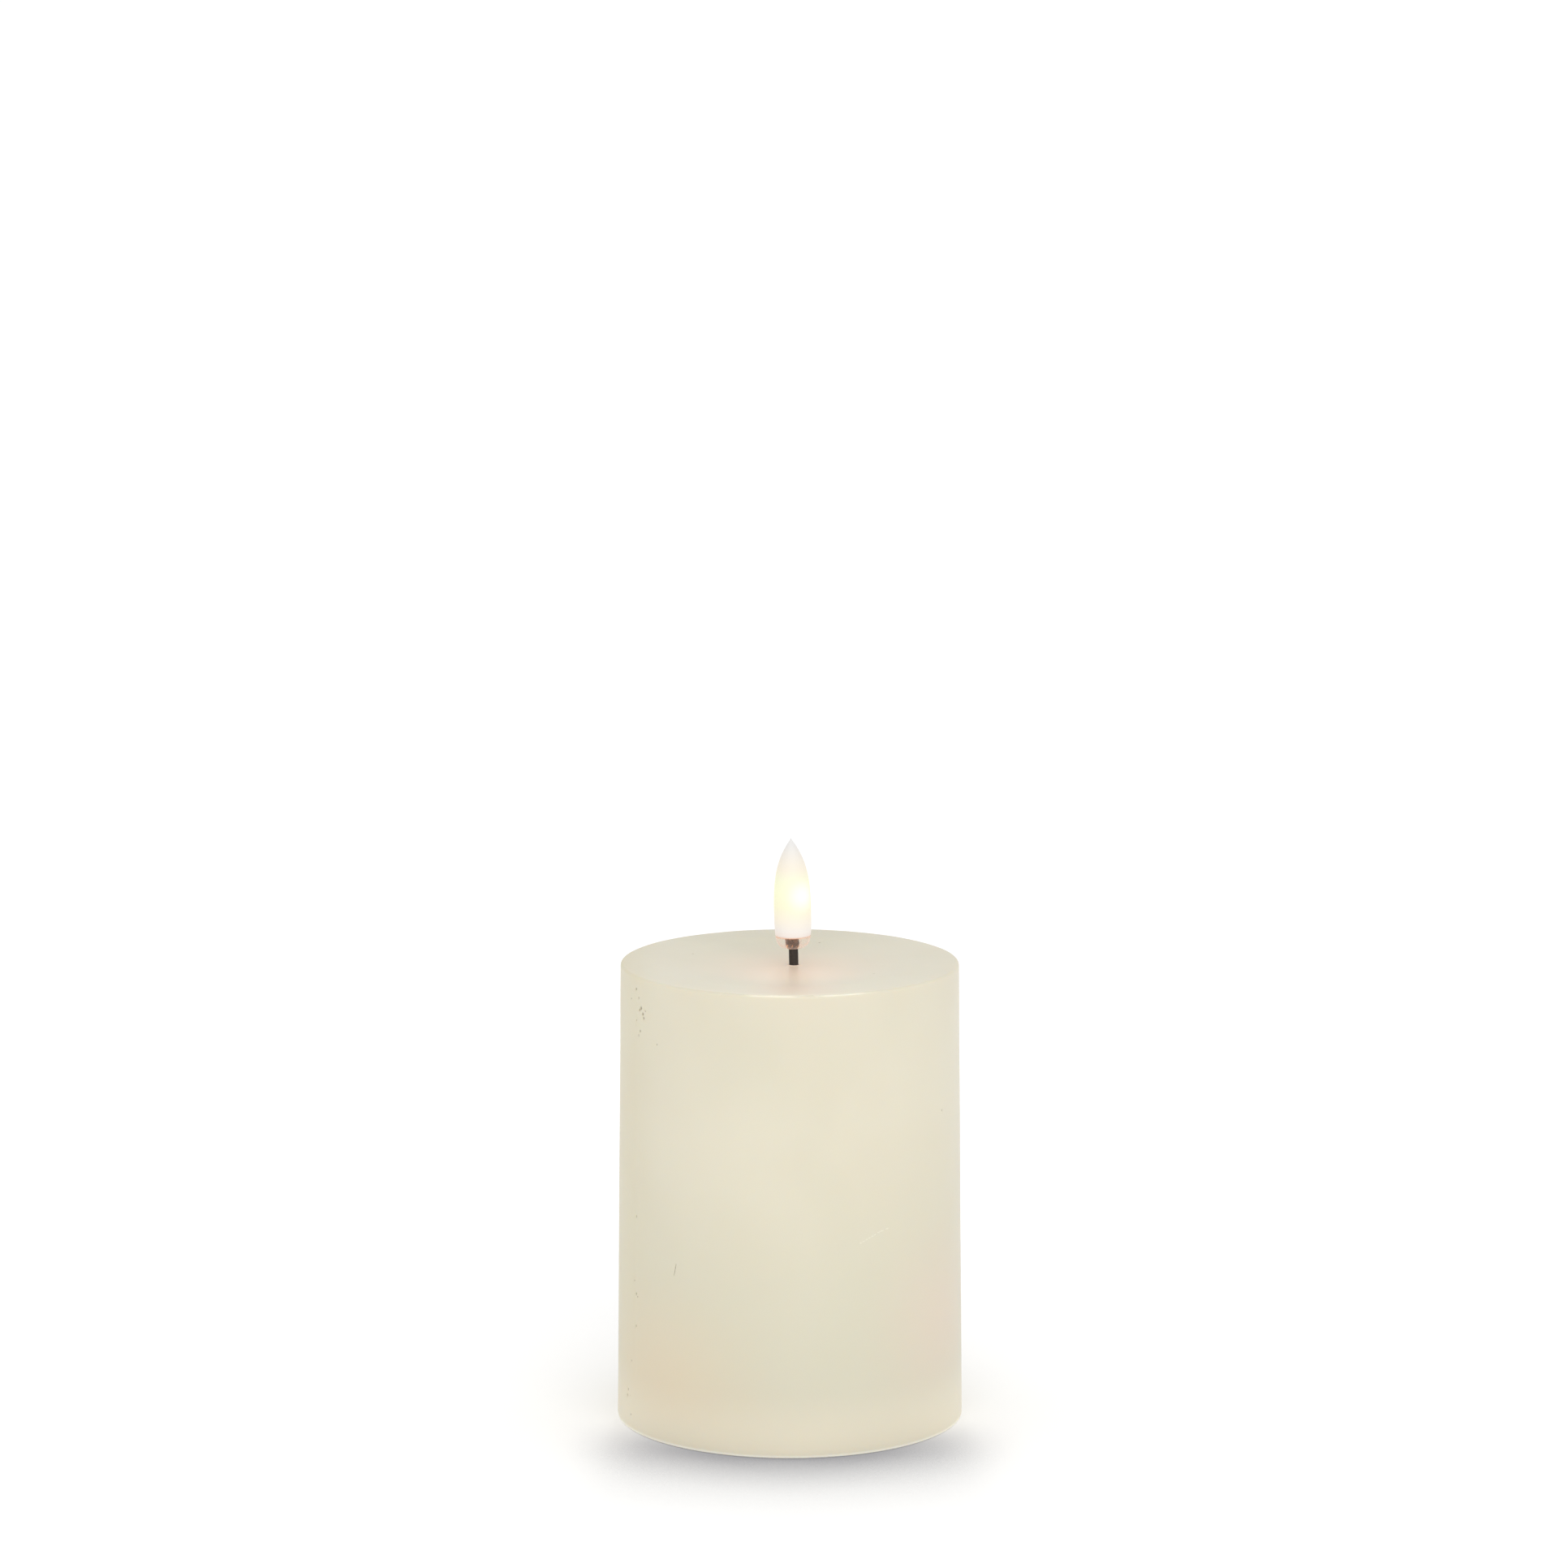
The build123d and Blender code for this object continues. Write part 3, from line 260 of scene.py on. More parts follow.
camera_lens = bpy.data.cameras.new("camera")
camera_lens.sensor_width = 36.0
camera_lens.lens = 137.6
camera_lens.clip_start = 0.01
camera_lens.clip_end = 100.0
camera = bpy.data.objects.new("camera", camera_lens)
camera.location = (
    camera_side,
    -camera_distance * cos(radians(camera_height)),
    candle_middle + camera_distance * sin(radians(camera_height)),
)
camera.rotation_euler = (radians(90 - camera_pitch), 0, 0)
bpy.context.scene.collection.objects.link(camera)
bpy.context.scene.camera = camera
bpy.context.scene.view_settings.view_transform = "Standard"


# ---- Wax shell
# A hollow pillar of ivory paraffin wax, cast in a metal mould and lifted out, which leaves a sharp foot, a
# softly rounded rim, a faint seam with small bubbles along it, and a top that sank a little as it set. Its
# colour also carries painted light and shade: darker low down and along the left edge, paler at the foot,
# darker at the back of the top and lighter at its front, a pinkish glow from the bulb, and thin painted
# highlights along the foot and the front of the rim.


sharp_edge = radians(38)  # edges that turn more than this stay crisp


def make_piece(shape, name, stands_for):
    """Ends a bmesh as a piece of the candle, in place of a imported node."""
    mesh = bpy.data.meshes.new(name)
    shape.to_mesh(mesh)
    shape.free()
    mesh.shade_smooth()
    mesh.set_sharp_from_angle(angle=sharp_edge)
    piece = bpy.data.objects.new(name, mesh)
    bpy.context.scene.collection.objects.link(piece)
    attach(piece, "candle")
    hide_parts(stands_for)
    return piece


same_place = 0.0001 * mm  # points closer than this are one point


def arc(centre, radius, start, end, count):
    """Points along an arc in the (distance from the axis, height) plane, between two angles in degrees."""
    turns = [radians(start + (end - start) * i / count) for i in range(count + 1)]
    return [(centre[0] + radius * cos(t), centre[1] + radius * sin(t)) for t in turns]


def run(start, end, count):
    """Points along a straight line, without its two ends."""
    return [tuple(a + (b - a) * i / count for a, b in zip(start, end)) for i in range(1, count)]


def lathe(outline, steps):
    """Spins a closed outline of (distance from the axis, height) points round Z."""
    shape = bmesh.new()
    verts = [shape.verts.new((x, 0, z)) for x, z in outline]
    edges = [shape.edges.new(pair) for pair in zip(verts, verts[1:] + verts[:1])]
    bmesh.ops.spin(
        shape,
        geom=verts + edges,
        axis=(0, 0, 1),
        cent=(0, 0, 0),
        steps=steps,
        angle=2 * pi,
        use_merge=True,
    )
    # a point on the axis was spun into a ring of no width
    bmesh.ops.remove_doubles(shape, verts=shape.verts, dist=same_place)
    bmesh.ops.delete(shape, geom=[e for e in shape.edges if not e.link_faces], context="EDGES")
    bmesh.ops.recalc_face_normals(shape, faces=shape.faces)
    return shape


shell_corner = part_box("wax_shell")[1]
shell_foot, shell_height = shell_corner.x, shell_corner.z
shell_draft = tan(radians(0.6))
rim_round = 0.7 * mm
foot_round = 0.5 * mm
seat_radius, seat_height, seat_chamfer = 34.6 * mm, 5.4 * mm, 0.3 * mm
hollow_foot, hollow_top, hollow_height = 33.35 * mm, 32.59 * mm, 93 * mm
hollow_round = 2.5 * mm
spigot_radius, spigot_height = 2.6 * mm, 97.5 * mm
dish_radius, dish_depth = 27 * mm, 1.0 * mm
wick_hole = 1.1 * mm
wick_offset = 0.85 * mm
meniscus, meniscus_width, meniscus_reach = 0.28 * mm, 0.45 * mm, 1.4 * mm  # the wax creeps up the wick
shell_steps = 320

rim_radius = shell_foot - shell_height * shell_draft
shell_bottom = arc((shell_foot - foot_round, foot_round), foot_round, -90, 0, 6)
shell_rim = arc((rim_radius - rim_round, shell_height - rim_round), rim_round, 0, 90, 8)
shell_side = run(shell_bottom[-1], shell_rim[0], 84)
dish_edge = (dish_radius, shell_height)


def dish_at(distance):
    """Height of the sunken top at a distance from the axis."""
    sunk = 1 - min(1.0, distance / dish_radius) ** 2
    return shell_height - dish_depth * sunk + meniscus * exp(-(distance - wick_hole) / meniscus_width)


dish_steps = [dish_radius * (1 - i / 34) for i in range(31)]
meniscus_steps = [wick_hole + meniscus_reach * (1 - i / 6) for i in range(7)]
dish = [(r, dish_at(r)) for r in dish_steps + meniscus_steps]
hollow_corner = arc((hollow_top - hollow_round, hollow_height - hollow_round), hollow_round, 90, 0, 6)
shell_outline = [
    *shell_bottom,
    *shell_side,
    *shell_rim,
    *run(shell_rim[-1], dish_edge, 8),
    *dish,
    (wick_hole, spigot_height),
    (spigot_radius, spigot_height),
    (spigot_radius, hollow_height),
    *hollow_corner,
    *run(hollow_corner[-1], (hollow_foot, seat_height), 12),
    (hollow_foot, seat_height),
    (seat_radius, seat_height),
    (seat_radius, seat_chamfer),
    (seat_radius + seat_chamfer, 0),
]
shell_shape = lathe(shell_outline, shell_steps)


def on_side(angle, height):
    """A place on the outside of the shell: the angle is from the front, towards +X."""
    radius = shell_foot - height * shell_draft
    return Vector((radius * sin(radians(angle)), -radius * cos(radians(angle)), height))


# bubbles that burst against the mould, most of them along its seam: angle, height, radius and depth,
# in degrees and millimetres
seam_angle = -63.0
pits = [
    (-64, 97.2, 0.45, 0.22), (-62, 95.4, 0.35, 0.2), (-60.4, 93.4, 0.55, 0.3), (-59.2, 92.2, 0.5, 0.35),
    (-58.6, 91.4, 0.4, 0.3), (-61.4, 92.9, 0.35, 0.25), (-57.6, 93.1, 0.3, 0.2), (-63.5, 90.4, 0.28, 0.16),
    (-60.8, 88.4, 0.4, 0.2), (-61.9, 87.4, 0.3, 0.2), (-50.5, 86.6, 0.3, 0.12), (-68.0, 94.6, 0.3, 0.15),
    (-62.8, 47.7, 0.34, 0.3), (-64, 33.4, 0.26, 0.16), (-62.8, 30.7, 0.36, 0.26), (-61.6, 30.2, 0.26, 0.14),
    (-62.8, 23.6, 0.34, 0.28), (-66, 15.4, 0.28, 0.18), (-69, 8.6, 0.36, 0.3), (-69.6, 7.2, 0.4, 0.34),
    (-66.8, 7.4, 0.26, 0.2), (-66.4, 3.4, 0.3, 0.18), (150, 88, 0.45, 0.25), (154, 90.5, 0.35, 0.2),
    (118, 21.0, 0.4, 0.25), (121, 62.0, 0.35, 0.2), (-150, 12.0, 0.4, 0.25), (-148, 14.5, 0.3, 0.2),
    (62, 71.0, 0.3, 0.15), (92, 9.0, 0.35, 0.2),
]
# scratches from handling: two ends as angle and height, then half width and depth
scratches = [
    ((-40.8, 40.0), (-41.6, 37.6), 0.13, 0.14),
    ((23.6, 46.0), (29.4, 47.6), 0.16, 0.05),
    ((30.2, 47.9), (34.4, 48.5), 0.14, 0.05),
    ((161, 55.0), (167, 58.5), 0.15, 0.06),
    ((-118, 33.0), (-121, 29.5), 0.14, 0.08),
]
# specks in the top: x, y, radius and depth
top_specks = [(17.9, -11.6, 0.3, 0.15), (-21.0, 9.5, 0.3, 0.12), (6.5, 22.0, 0.35, 0.15)]
dirty, rubbed_pale = 1.0, -0.6
shallow = 0.1  # a scratch shallower than this holds no dirt
fine_mesh = 0.8 * mm  # how far round a mark the mesh is refined

# each mark has two ends, a half width, a depth and its stain
marks = [(on_side(a, h * mm), on_side(a, h * mm), r * mm, d * mm, dirty) for a, h, r, d in pits]
for (a, h), (b, k), half_width, depth in scratches:
    dark = dirty if depth > shallow else rubbed_pale
    marks.append((on_side(a, h * mm), on_side(b, k * mm), half_width * mm, depth * mm, dark))
for x, y, r, d in top_specks:
    at = Vector((x * mm, y * mm, dish_at(hypot(x, y) * mm)))
    marks.append((at, at, r * mm, d * mm, dirty))


def gap_to(place, mark):
    """Distance from a place to a mark's line."""
    start, end = mark[:2]
    along = end - start
    share = max(0.0, min(1.0, (place - start).dot(along) / along.length_squared)) if along.length else 0.0
    return (place - start - share * along).length


for mark in marks:
    close = [f for f in shell_shape.faces if gap_to(f.calc_center_median(), mark) < fine_mesh + mark[2]]
    edges = {e for f in close for e in f.edges}
    bmesh.ops.subdivide_edges(shell_shape, edges=list(edges), cuts=3, use_grid_fill=True)
many_sided = [f for f in shell_shape.faces if len(f.verts) > 4]
bmesh.ops.triangulate(shell_shape, faces=many_sided, ngon_method="BEAUTY")

stain = shell_shape.verts.layers.float.new("stain")
shifted_whole, shifted_part = 3.2 * mm, 16 * mm  # the wax near the wick is off the axis with it
wave_size, wave_depth = 31 * mm, 0.05 * mm
small_wave_size, small_wave = 0.31 * wave_size, 0.4
seam_width, seam_depth = 0.7, 0.05 * mm  # the width in degrees
rim_low = 97 * mm
rim_sag, rim_sag_width, rim_wave = 0.07 * mm, 1.2 * mm, 9 * mm
top_ripple, top_wave, top_sink = 0.05 * mm, 11 * mm, 0.6
mark_reach, mark_steep = 2.2, 1.6
seat_edge = seat_radius + seat_chamfer + 0.1 * mm
for vert in shell_shape.verts:
    place = vert.co.copy()
    distance = hypot(place.x, place.y)
    outside = distance > seat_edge and place.z > seat_chamfer
    on_top = place.z > spigot_height + 0.1 * mm and distance <= seat_edge
    outward = Vector((place.x, place.y, 0)).normalized()
    if outside:
        wave = noise.noise(place / wave_size) + small_wave * noise.noise(place / small_wave_size)
        from_seam = degrees(atan2(place.x, -place.y)) - seam_angle
        seam = exp(-((from_seam / seam_width) ** 2))
        vert.co -= outward * (wave_depth * (1 + wave) + seam_depth * seam)
    if outside or on_top:
        from_rim = (distance - rim_radius + rim_round) / rim_sag_width
        rim = exp(-(from_rim**2)) if place.z > rim_low else 0.0
        vert.co.z -= rim_sag * rim * (1 + noise.noise(place / rim_wave))
    if on_top:
        vert.co.z += top_ripple * (noise.noise(place / top_wave) - top_sink)
    if outside or on_top:
        for mark in marks:
            gap = gap_to(place, mark)
            if gap < mark_reach * mark[2]:
                into = Vector((0, 0, 1)) if on_top else outward
                share = exp(-((gap / mark[2]) ** 2) * mark_steep)
                vert.co -= into * mark[3] * share
                vert[stain] += mark[4] * share
    if distance < shifted_part and place.z > hollow_height - 0.1 * mm:
        fade = min(1.0, (shifted_part - distance) / (shifted_part - shifted_whole))
        vert.co.x += wick_offset * fade * fade * (3 - 2 * fade)

wax_pillar = make_piece(shell_shape, "wax_pillar", "wax_shell")

wax = Finish(
    "ivory_wax",
    Subsurface_Weight=0.30,
    Subsurface_Radius=(1.0, 0.72, 0.42),
    Subsurface_Scale=2.4 * mm,
    Specular_IOR_Level=0.42,
    IOR=1.44,
    Emission_Strength=0.20,
)
ivory, cream = (0.692, 0.645, 0.512), (0.706, 0.663, 0.532)
peach, rose, sage = (0.715, 0.612, 0.447), (0.712, 0.600, 0.490), (0.615, 0.592, 0.462)
straw, bounce_milky = (0.660, 0.600, 0.420), (0.800, 0.737, 0.580)
top_shade, top_light = (0.585, 0.555, 0.420), (0.80, 0.76, 0.61)
wick_light, gleam_light = (0.82, 0.71, 0.57), (0.90, 0.78, 0.62)
foot_line_highlight, rim_glint_pale = (0.95, 0.93, 0.84), (0.95, 0.91, 0.76)
scratch_pale, grime = (0.85, 0.83, 0.71), (0.24, 0.19, 0.12)
dish_floor = shell_height - dish_depth
clouds = wax.step(wax.grain(34 * mm, 2.0, 0.45), 0.35, 0.65)
tint = wax.mix(clouds, ivory, cream)
veils = wax.step(wax.grain(26 * mm, 2.0, 0.4, stretch=(1, 1, 0.6)), 0.50, 0.75)
tint = wax.mix(veils * 0.22, tint, sage)
# painted shade: the side is tinted darker and greener towards the bottom, where less of the light from
# above falls
low = (1 - wax.step(wax.z, 22 * mm, 72 * mm)) * (0.3 + 0.7 * wax.step(wax.z, 2 * mm, 22 * mm))
tint = wax.mix(low * 0.60, tint, sage)
# painted shade: the left edge, turned away from the light, is tinted darker and yellower
left_edge_shade = wax.step(wax.x * -1, 0.72 * shell_foot, 0.98 * shell_foot)
tint = wax.mix(left_edge_shade * 0.55, tint, straw)
# patches where the wax is warmer: angle, height, how far they reach, strength and colour
warm_patches = [
    (-47, 11 * mm, 32 * mm, 0.80, peach),
    (60, 26 * mm, 27 * mm, 0.65, rose),
    (165, 12 * mm, 26 * mm, 0.70, peach),
]
for angle, patch_height, patch_reach, strength, colour in warm_patches:
    patch = wax.near(tuple(on_side(angle, patch_height)), patch_reach)
    tint = wax.mix(patch * strength, tint, colour)
# painted light: the foot is tinted paler, standing in for light thrown up from the white table
foot_bounce_light = 1 - wax.step(wax.z, 1 * mm, 15 * mm)
tint = wax.mix(foot_bounce_light * 0.80, tint, bounce_milky)
on_the_top = wax.step(wax.z, dish_floor - 0.3 * mm, dish_floor - 0.1 * mm)
from_axis = (wax.x * wax.x + wax.y * wax.y) ** 0.5
on_the_top = on_the_top * (1 - wax.step(from_axis, rim_radius - 1.2 * mm, rim_radius - 0.3 * mm))
# painted shade at the back of the top and painted light at its front, from how the light falls across it
top_back = wax.near((-2 * mm, 30 * mm, shell_height), 42 * mm) * on_the_top
tint = wax.mix(top_back * 0.60, tint, top_shade)
top_front = wax.near((4 * mm, -44 * mm, shell_height), 62 * mm) * on_the_top
tint = wax.mix(top_front * 0.55, tint, top_light)
# the lit bulb throws a pinkish light on the wax round the wick
glow_ring = wax.near((1 * mm, -3 * mm, shell_height), 27 * mm)
glow_front = wax.near((1 * mm, -29 * mm, shell_height), 14 * mm) * (0.2 + 0.8 * on_the_top)
glow_near = wax.near((1 * mm, -13 * mm, shell_height), 17 * mm)
gleam = wax.near((wick_offset, 0, dish_floor), 2.2 * mm)
tint = wax.mix(glow_ring * 0.55, tint, rose)
tint = wax.mix(glow_front * 0.75, tint, rose)
tint = wax.mix(glow_near * 0.5, tint, wick_light)
tint = wax.mix(gleam * 0.8, tint, gleam_light)
# painted highlight: a thin pale line along the round of the foot, in the colour and, as light off the
# table, in the emission
foot_line = 1 - wax.step(wax.z, 0.15 * mm, 0.9 * mm)
foot_line = foot_line * wax.step(from_axis, shell_foot - 0.9 * mm, shell_foot - 0.5 * mm)
tint = wax.mix(foot_line * 0.6, tint, foot_line_highlight)
# painted highlight: a thin, broken pale line along the front of the rim stands in for a glint. Fingers have
# also rubbed the front of the rim smooth.
rim_edge = wax.step(wax.z, shell_height - 0.50 * mm, shell_height - 0.34 * mm)
rim_edge = rim_edge * (1 - wax.step(wax.z, shell_height - 0.24 * mm, shell_height - 0.10 * mm))
rim_edge = rim_edge * wax.step(from_axis, rim_radius - 0.9 * mm, rim_radius - 0.6 * mm)
front_of_rim = wax.step(wax.y * -1, 0.84 * rim_radius, 0.93 * rim_radius)
rim_glint = front_of_rim * wax.step(wax.grain(12 * mm, 2.0), 0.40, 0.55) * rim_edge
rim_glint = rim_glint * (1 - wax.near((4 * mm, -rim_radius, shell_height), 5 * mm))
tint = wax.mix(rim_glint * 0.7, tint, rim_glint_pale)
stained = wax.node("Attribute", {"attribute_name": "stain"}, {}, 2)
dirt = wax.step(stained, 0.20, 0.85)
pale = wax.step(stained * -1, 0.12, 0.5)
tint = wax.mix(dirt * 0.62, tint, grime)
tint = wax.mix(pale * 0.40, tint, scratch_pale)
wax.set("Base Color", tint)
glow = glow_ring * 0.26 + glow_near * 0.22 + glow_front * 0.22 + gleam * 0.5
unlit, warm_light, table_light = (0, 0, 0), (1.0, 0.42, 0.25), (0.90, 0.84, 0.68)
lit_wax = wax.mix(glow, unlit, warm_light)
wax.set("Emission Color", wax.mix(foot_line * 0.6, lit_wax, table_light))
handled = wax.step(from_axis, rim_radius - 1.0 * mm, rim_radius - 0.6 * mm)
handled = handled * wax.step(wax.z, shell_height - 1.0 * mm, shell_height - 0.7 * mm)
wax.set("Roughness", 0.34 + 0.12 * wax.grain(9 * mm, 4.0) + 0.25 * dirt - 0.14 * handled * front_of_rim)
wax.bump(wax.grain(2.6 * mm, 5.0, 0.6) + 0.6 * wax.grain(14 * mm, 2.0), 0.05 * mm, 0.25)
wax.paint(wax_pillar)


# ---- Core cup, base plate and battery door
# Three mouldings in ivory ABS. Their faces carry the fine spark-eroded grain of the mould, and patches that
# hands and tables rub are a little smoother.


def moulded(name, colour, roughness, grain_depth, wear):
    """Moulded plastic with a fine grain, faint cloudiness and rubbed patches."""
    plastic = Finish(name, Specular_IOR_Level=0.45, IOR=1.5)
    fine = plastic.grain(0.22 * mm, 2.0, 0.6)
    rubbed = plastic.step(plastic.grain(13 * mm, 3.0), 0.48, 0.7)
    darker = tuple(c * 0.93 for c in colour)
    plastic.set("Base Color", plastic.mix(plastic.grain(24 * mm, 2.0) * 0.6, colour, darker))
    plastic.set("Roughness", roughness - wear * rubbed + 0.06 * fine)
    plastic.bump(fine, grain_depth, 0.5)
    return plastic


moulded("cup_plastic", (0.70, 0.66, 0.56), 0.58, 0.02 * mm, 0.05).paint(nodes["core_cup"])
moulded("base_plastic", (0.74, 0.69, 0.57), 0.62, 0.03 * mm, 0.14).paint(nodes["base_plate"])
moulded("door_plastic", (0.75, 0.70, 0.58), 0.60, 0.03 * mm, 0.16).paint(nodes["battery_door"])


# ---- Screws
# Zinc-plated steel screws with cross recesses, three under the base and two on the board. The plating is
# finely streaked and has dulled in patches.


def plated(name, colour, roughness, streak=(1, 1, 1), tarnish=(0.36, 0.33, 0.29)):
    """Plated metal with fine drawing marks and a little tarnish."""
    metal = Finish(name, Metallic=1.0)
    lines = metal.grain(0.25 * mm, 3.0, 0.7, stretch=streak)
    dull = metal.step(metal.grain(2.1 * mm, 4.0), 0.5, 0.78)
    metal.set("Base Color", metal.mix(dull * 0.45, colour, tarnish))
    metal.set("Roughness", roughness + 0.14 * lines + 0.18 * dull)
    metal.bump(lines, 0.01 * mm, 0.35)
    return metal


plated("screw_zinc", (0.66, 0.65, 0.62), 0.26).paint(nodes["base_screws"], nodes["board_screws"])


# ---- Cells
# Two AA cells in printed foil jackets: graphite, with a copper band at the button end and a bare steel
# rim at each end. Nothing is lettered on them.

cell_band = 11 * mm
graphite, copper_foil, silver_line = (0.035, 0.038, 0.042), (0.62, 0.30, 0.13), (0.70, 0.70, 0.70)
scuffed, bare_steel = (0.30, 0.30, 0.30), (0.74, 0.73, 0.70)


def cell_jacket(name, node, side):
    """The jacket of one cell, whose button faces +X for side 1 and -X for side -1."""
    low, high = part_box(node)
    jacket = Finish(name)
    button_x = high.x if side > 0 else low.x
    from_button = (button_x - jacket.x) * side
    length = high.x - low.x
    middle = (low + high) / 2
    y, z = jacket.y - middle.y, jacket.z - middle.z
    radius = (y * y + z * z) ** 0.5
    bare = 1 - jacket.step(from_button, 1.5 * mm, 1.7 * mm)
    bare = bare + jacket.step(from_button, length - 0.7 * mm, length - 0.6 * mm)
    bare = bare + (1 - jacket.step(radius, 5.6 * mm, 5.8 * mm))
    bare = bare.math("MINIMUM", bare, 1.0)
    band = 1 - jacket.step(from_button, cell_band, cell_band + 0.15 * mm)
    line = jacket.step(abs(from_button - cell_band - 1.2 * mm) * -1, -0.3 * mm, -0.22 * mm)
    scuff = jacket.step(jacket.grain(1.8 * mm, 5.0, 0.65), 0.6, 0.8)
    colour = jacket.mix(band, graphite, copper_foil)
    colour = jacket.mix(line, colour, silver_line)
    colour = jacket.mix(scuff * 0.25, colour, scuffed)
    jacket.set("Base Color", jacket.mix(bare, colour, bare_steel))
    jacket.set("Metallic", band.math("MAXIMUM", band * 0.85, bare))
    jacket.set("Roughness", 0.24 + 0.2 * scuff + 0.08 * bare)
    jacket.paint(nodes[node])


cell_jacket("cell_a_jacket", "battery_cell_a", 1)
cell_jacket("cell_b_jacket", "battery_cell_b", -1)


# ---- Contacts and springs
# Nickel-plated spring steel: two stamped plates with solder tabs, a wide plate that bridges the cells,
# and two conical springs wound from wire.

plated("contact_nickel", (0.76, 0.73, 0.67), 0.2, streak=(1, 1, 0.1)).paint(
    nodes["positive_contact"], nodes["negative_contact"], nodes["bridge_contact"]
)
plated("spring_nickel", (0.72, 0.69, 0.63), 0.24).paint(nodes["negative_spring"], nodes["bridge_spring"])


# ---- Circuit board
# Glass-fibre laminate under green solder mask, cut to shape and screwed down. Copper tracks show through
# the mask as a lighter green, and the cut edges show the pale laminate.

board_low, board_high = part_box("circuit_board")
board = Finish("green_board", Coat_Weight=0.3, Coat_Roughness=0.12)
track_layout = {"offset": 0.37, "squash": 0.6, "squash_frequency": 3}
track_sizes = {"Mortar Size": 0.1, "Mortar Smooth": 0.1, "Brick Width": 2.3, "Row Height": 1.15}  # in mm
track_grid = board.node("TexBrick", track_layout, {0: board.place, "Scale": 1 / mm, **track_sizes}, 1)
faces_up = board.step(board.z, board_high.z - 0.02 * mm, board_high.z - 0.01 * mm)
faces_down = 1 - board.step(board.z, board_low.z + 0.01 * mm, board_low.z + 0.02 * mm)
masked = faces_up + faces_down
weave = board.grain(0.5 * mm, 2.0, 0.5, stretch=(1, 0.3, 1))
mask_green = board.mix(track_grid * 0.8, (0.012, 0.105, 0.035), (0.025, 0.22, 0.07))
mask_green = board.mix(weave * 0.3, mask_green, (0.02, 0.15, 0.05))
laminate = board.mix(weave, (0.42, 0.40, 0.22), (0.52, 0.50, 0.30))
board.set("Base Color", board.mix(masked, laminate, mask_green))
board.set("Roughness", 0.62 - 0.34 * masked + 0.06 * weave)
board.bump(track_grid * 0.6 + weave * 0.2, 0.03 * mm, 0.6)
board.paint(nodes["circuit_board"])


# ---- Controller chip
# A black epoxy package with a dimple that marks its first leg. Tinned gull-wing legs down both sides are
# soldered flat to the board.

chip_low, chip_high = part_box("controller_chip")
chip_middle = (chip_low + chip_high) / 2
chip_half_width = 1.95 * mm
chip = Finish("chip_epoxy")
leg = chip.step(abs(chip.x - chip_middle.x), chip_half_width - 0.01 * mm, chip_half_width + 0.01 * mm)
chip_grain = chip.grain(0.16 * mm, 3.0, 0.6)
epoxy = chip.mix(chip_grain, (0.018, 0.018, 0.019), (0.035, 0.035, 0.036))
chip.set("Base Color", chip.mix(leg, epoxy, (0.76, 0.75, 0.72)))
chip.set("Metallic", leg)
chip.set("Roughness", 0.6 - 0.3 * leg + 0.1 * chip_grain)
chip.bump(chip_grain, 0.01 * mm, 0.5)
chip.paint(nodes["controller_chip"])


# ---- Timing crystal
# A white ceramic tray with a plated lid seam-welded on. It keeps time for the timer and is soldered to
# the board beside the chip.

crystal_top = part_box("timing_crystal")[1].z
lid_depth = 0.25 * mm
crystal = Finish("crystal_can")
lid = crystal.step(crystal.z, crystal_top - lid_depth - 0.02 * mm, crystal_top - lid_depth)
brushed = crystal.grain(0.2 * mm, 3.0, 0.7, stretch=(0.1, 1, 1))
crystal.set("Base Color", crystal.mix(lid, (0.62, 0.58, 0.50), (0.80, 0.76, 0.62)))
crystal.set("Metallic", lid)
crystal.set("Roughness", 0.5 - 0.25 * lid + 0.12 * brushed)
crystal.bump(brushed, 0.008 * mm, 0.4)
crystal.paint(nodes["timing_crystal"])


# ---- Smoothing capacitor
# An aluminium can in a shrunk dark blue sleeve, with a pale stripe on its negative side. Its bare top is
# scored, and its two leads are soldered through the board.

can_low, can_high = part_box("smoothing_capacitor")
can_middle = (can_low + can_high) / 2
can = Finish("capacitor_sleeve", Coat_Weight=0.2, Coat_Roughness=0.2)
across, away = can.x - can_middle.x, can.y - can_middle.y
bare_top = 2.0 * mm  # the radius where the sleeve ends on the top
can_top = can.step(can.z, can_high.z - 0.12 * mm, can_high.z - 0.05 * mm)
can_top = can_top * (1 - can.step((across * across + away * away) ** 0.5, bare_top, bare_top + 0.1 * mm))
stripe = can.step(across * -1, 2.1 * mm, 2.2 * mm)
sleeve = can.mix(stripe, (0.010, 0.018, 0.065), (0.45, 0.47, 0.52))
can.set("Base Color", can.mix(can_top, sleeve, (0.78, 0.78, 0.78)))
can.set("Metallic", can_top)
can.set("Roughness", 0.30 + 0.12 * can.grain(0.8 * mm, 3.0))
can.bump(can.grain(1.2 * mm, 3.0), 0.02 * mm, 0.4)
can.paint(nodes["smoothing_capacitor"])


# ---- Chip resistors
# Three ceramic chips in a row, with a black glaze on top. Their tinned ends are soldered to pads on the
# board.

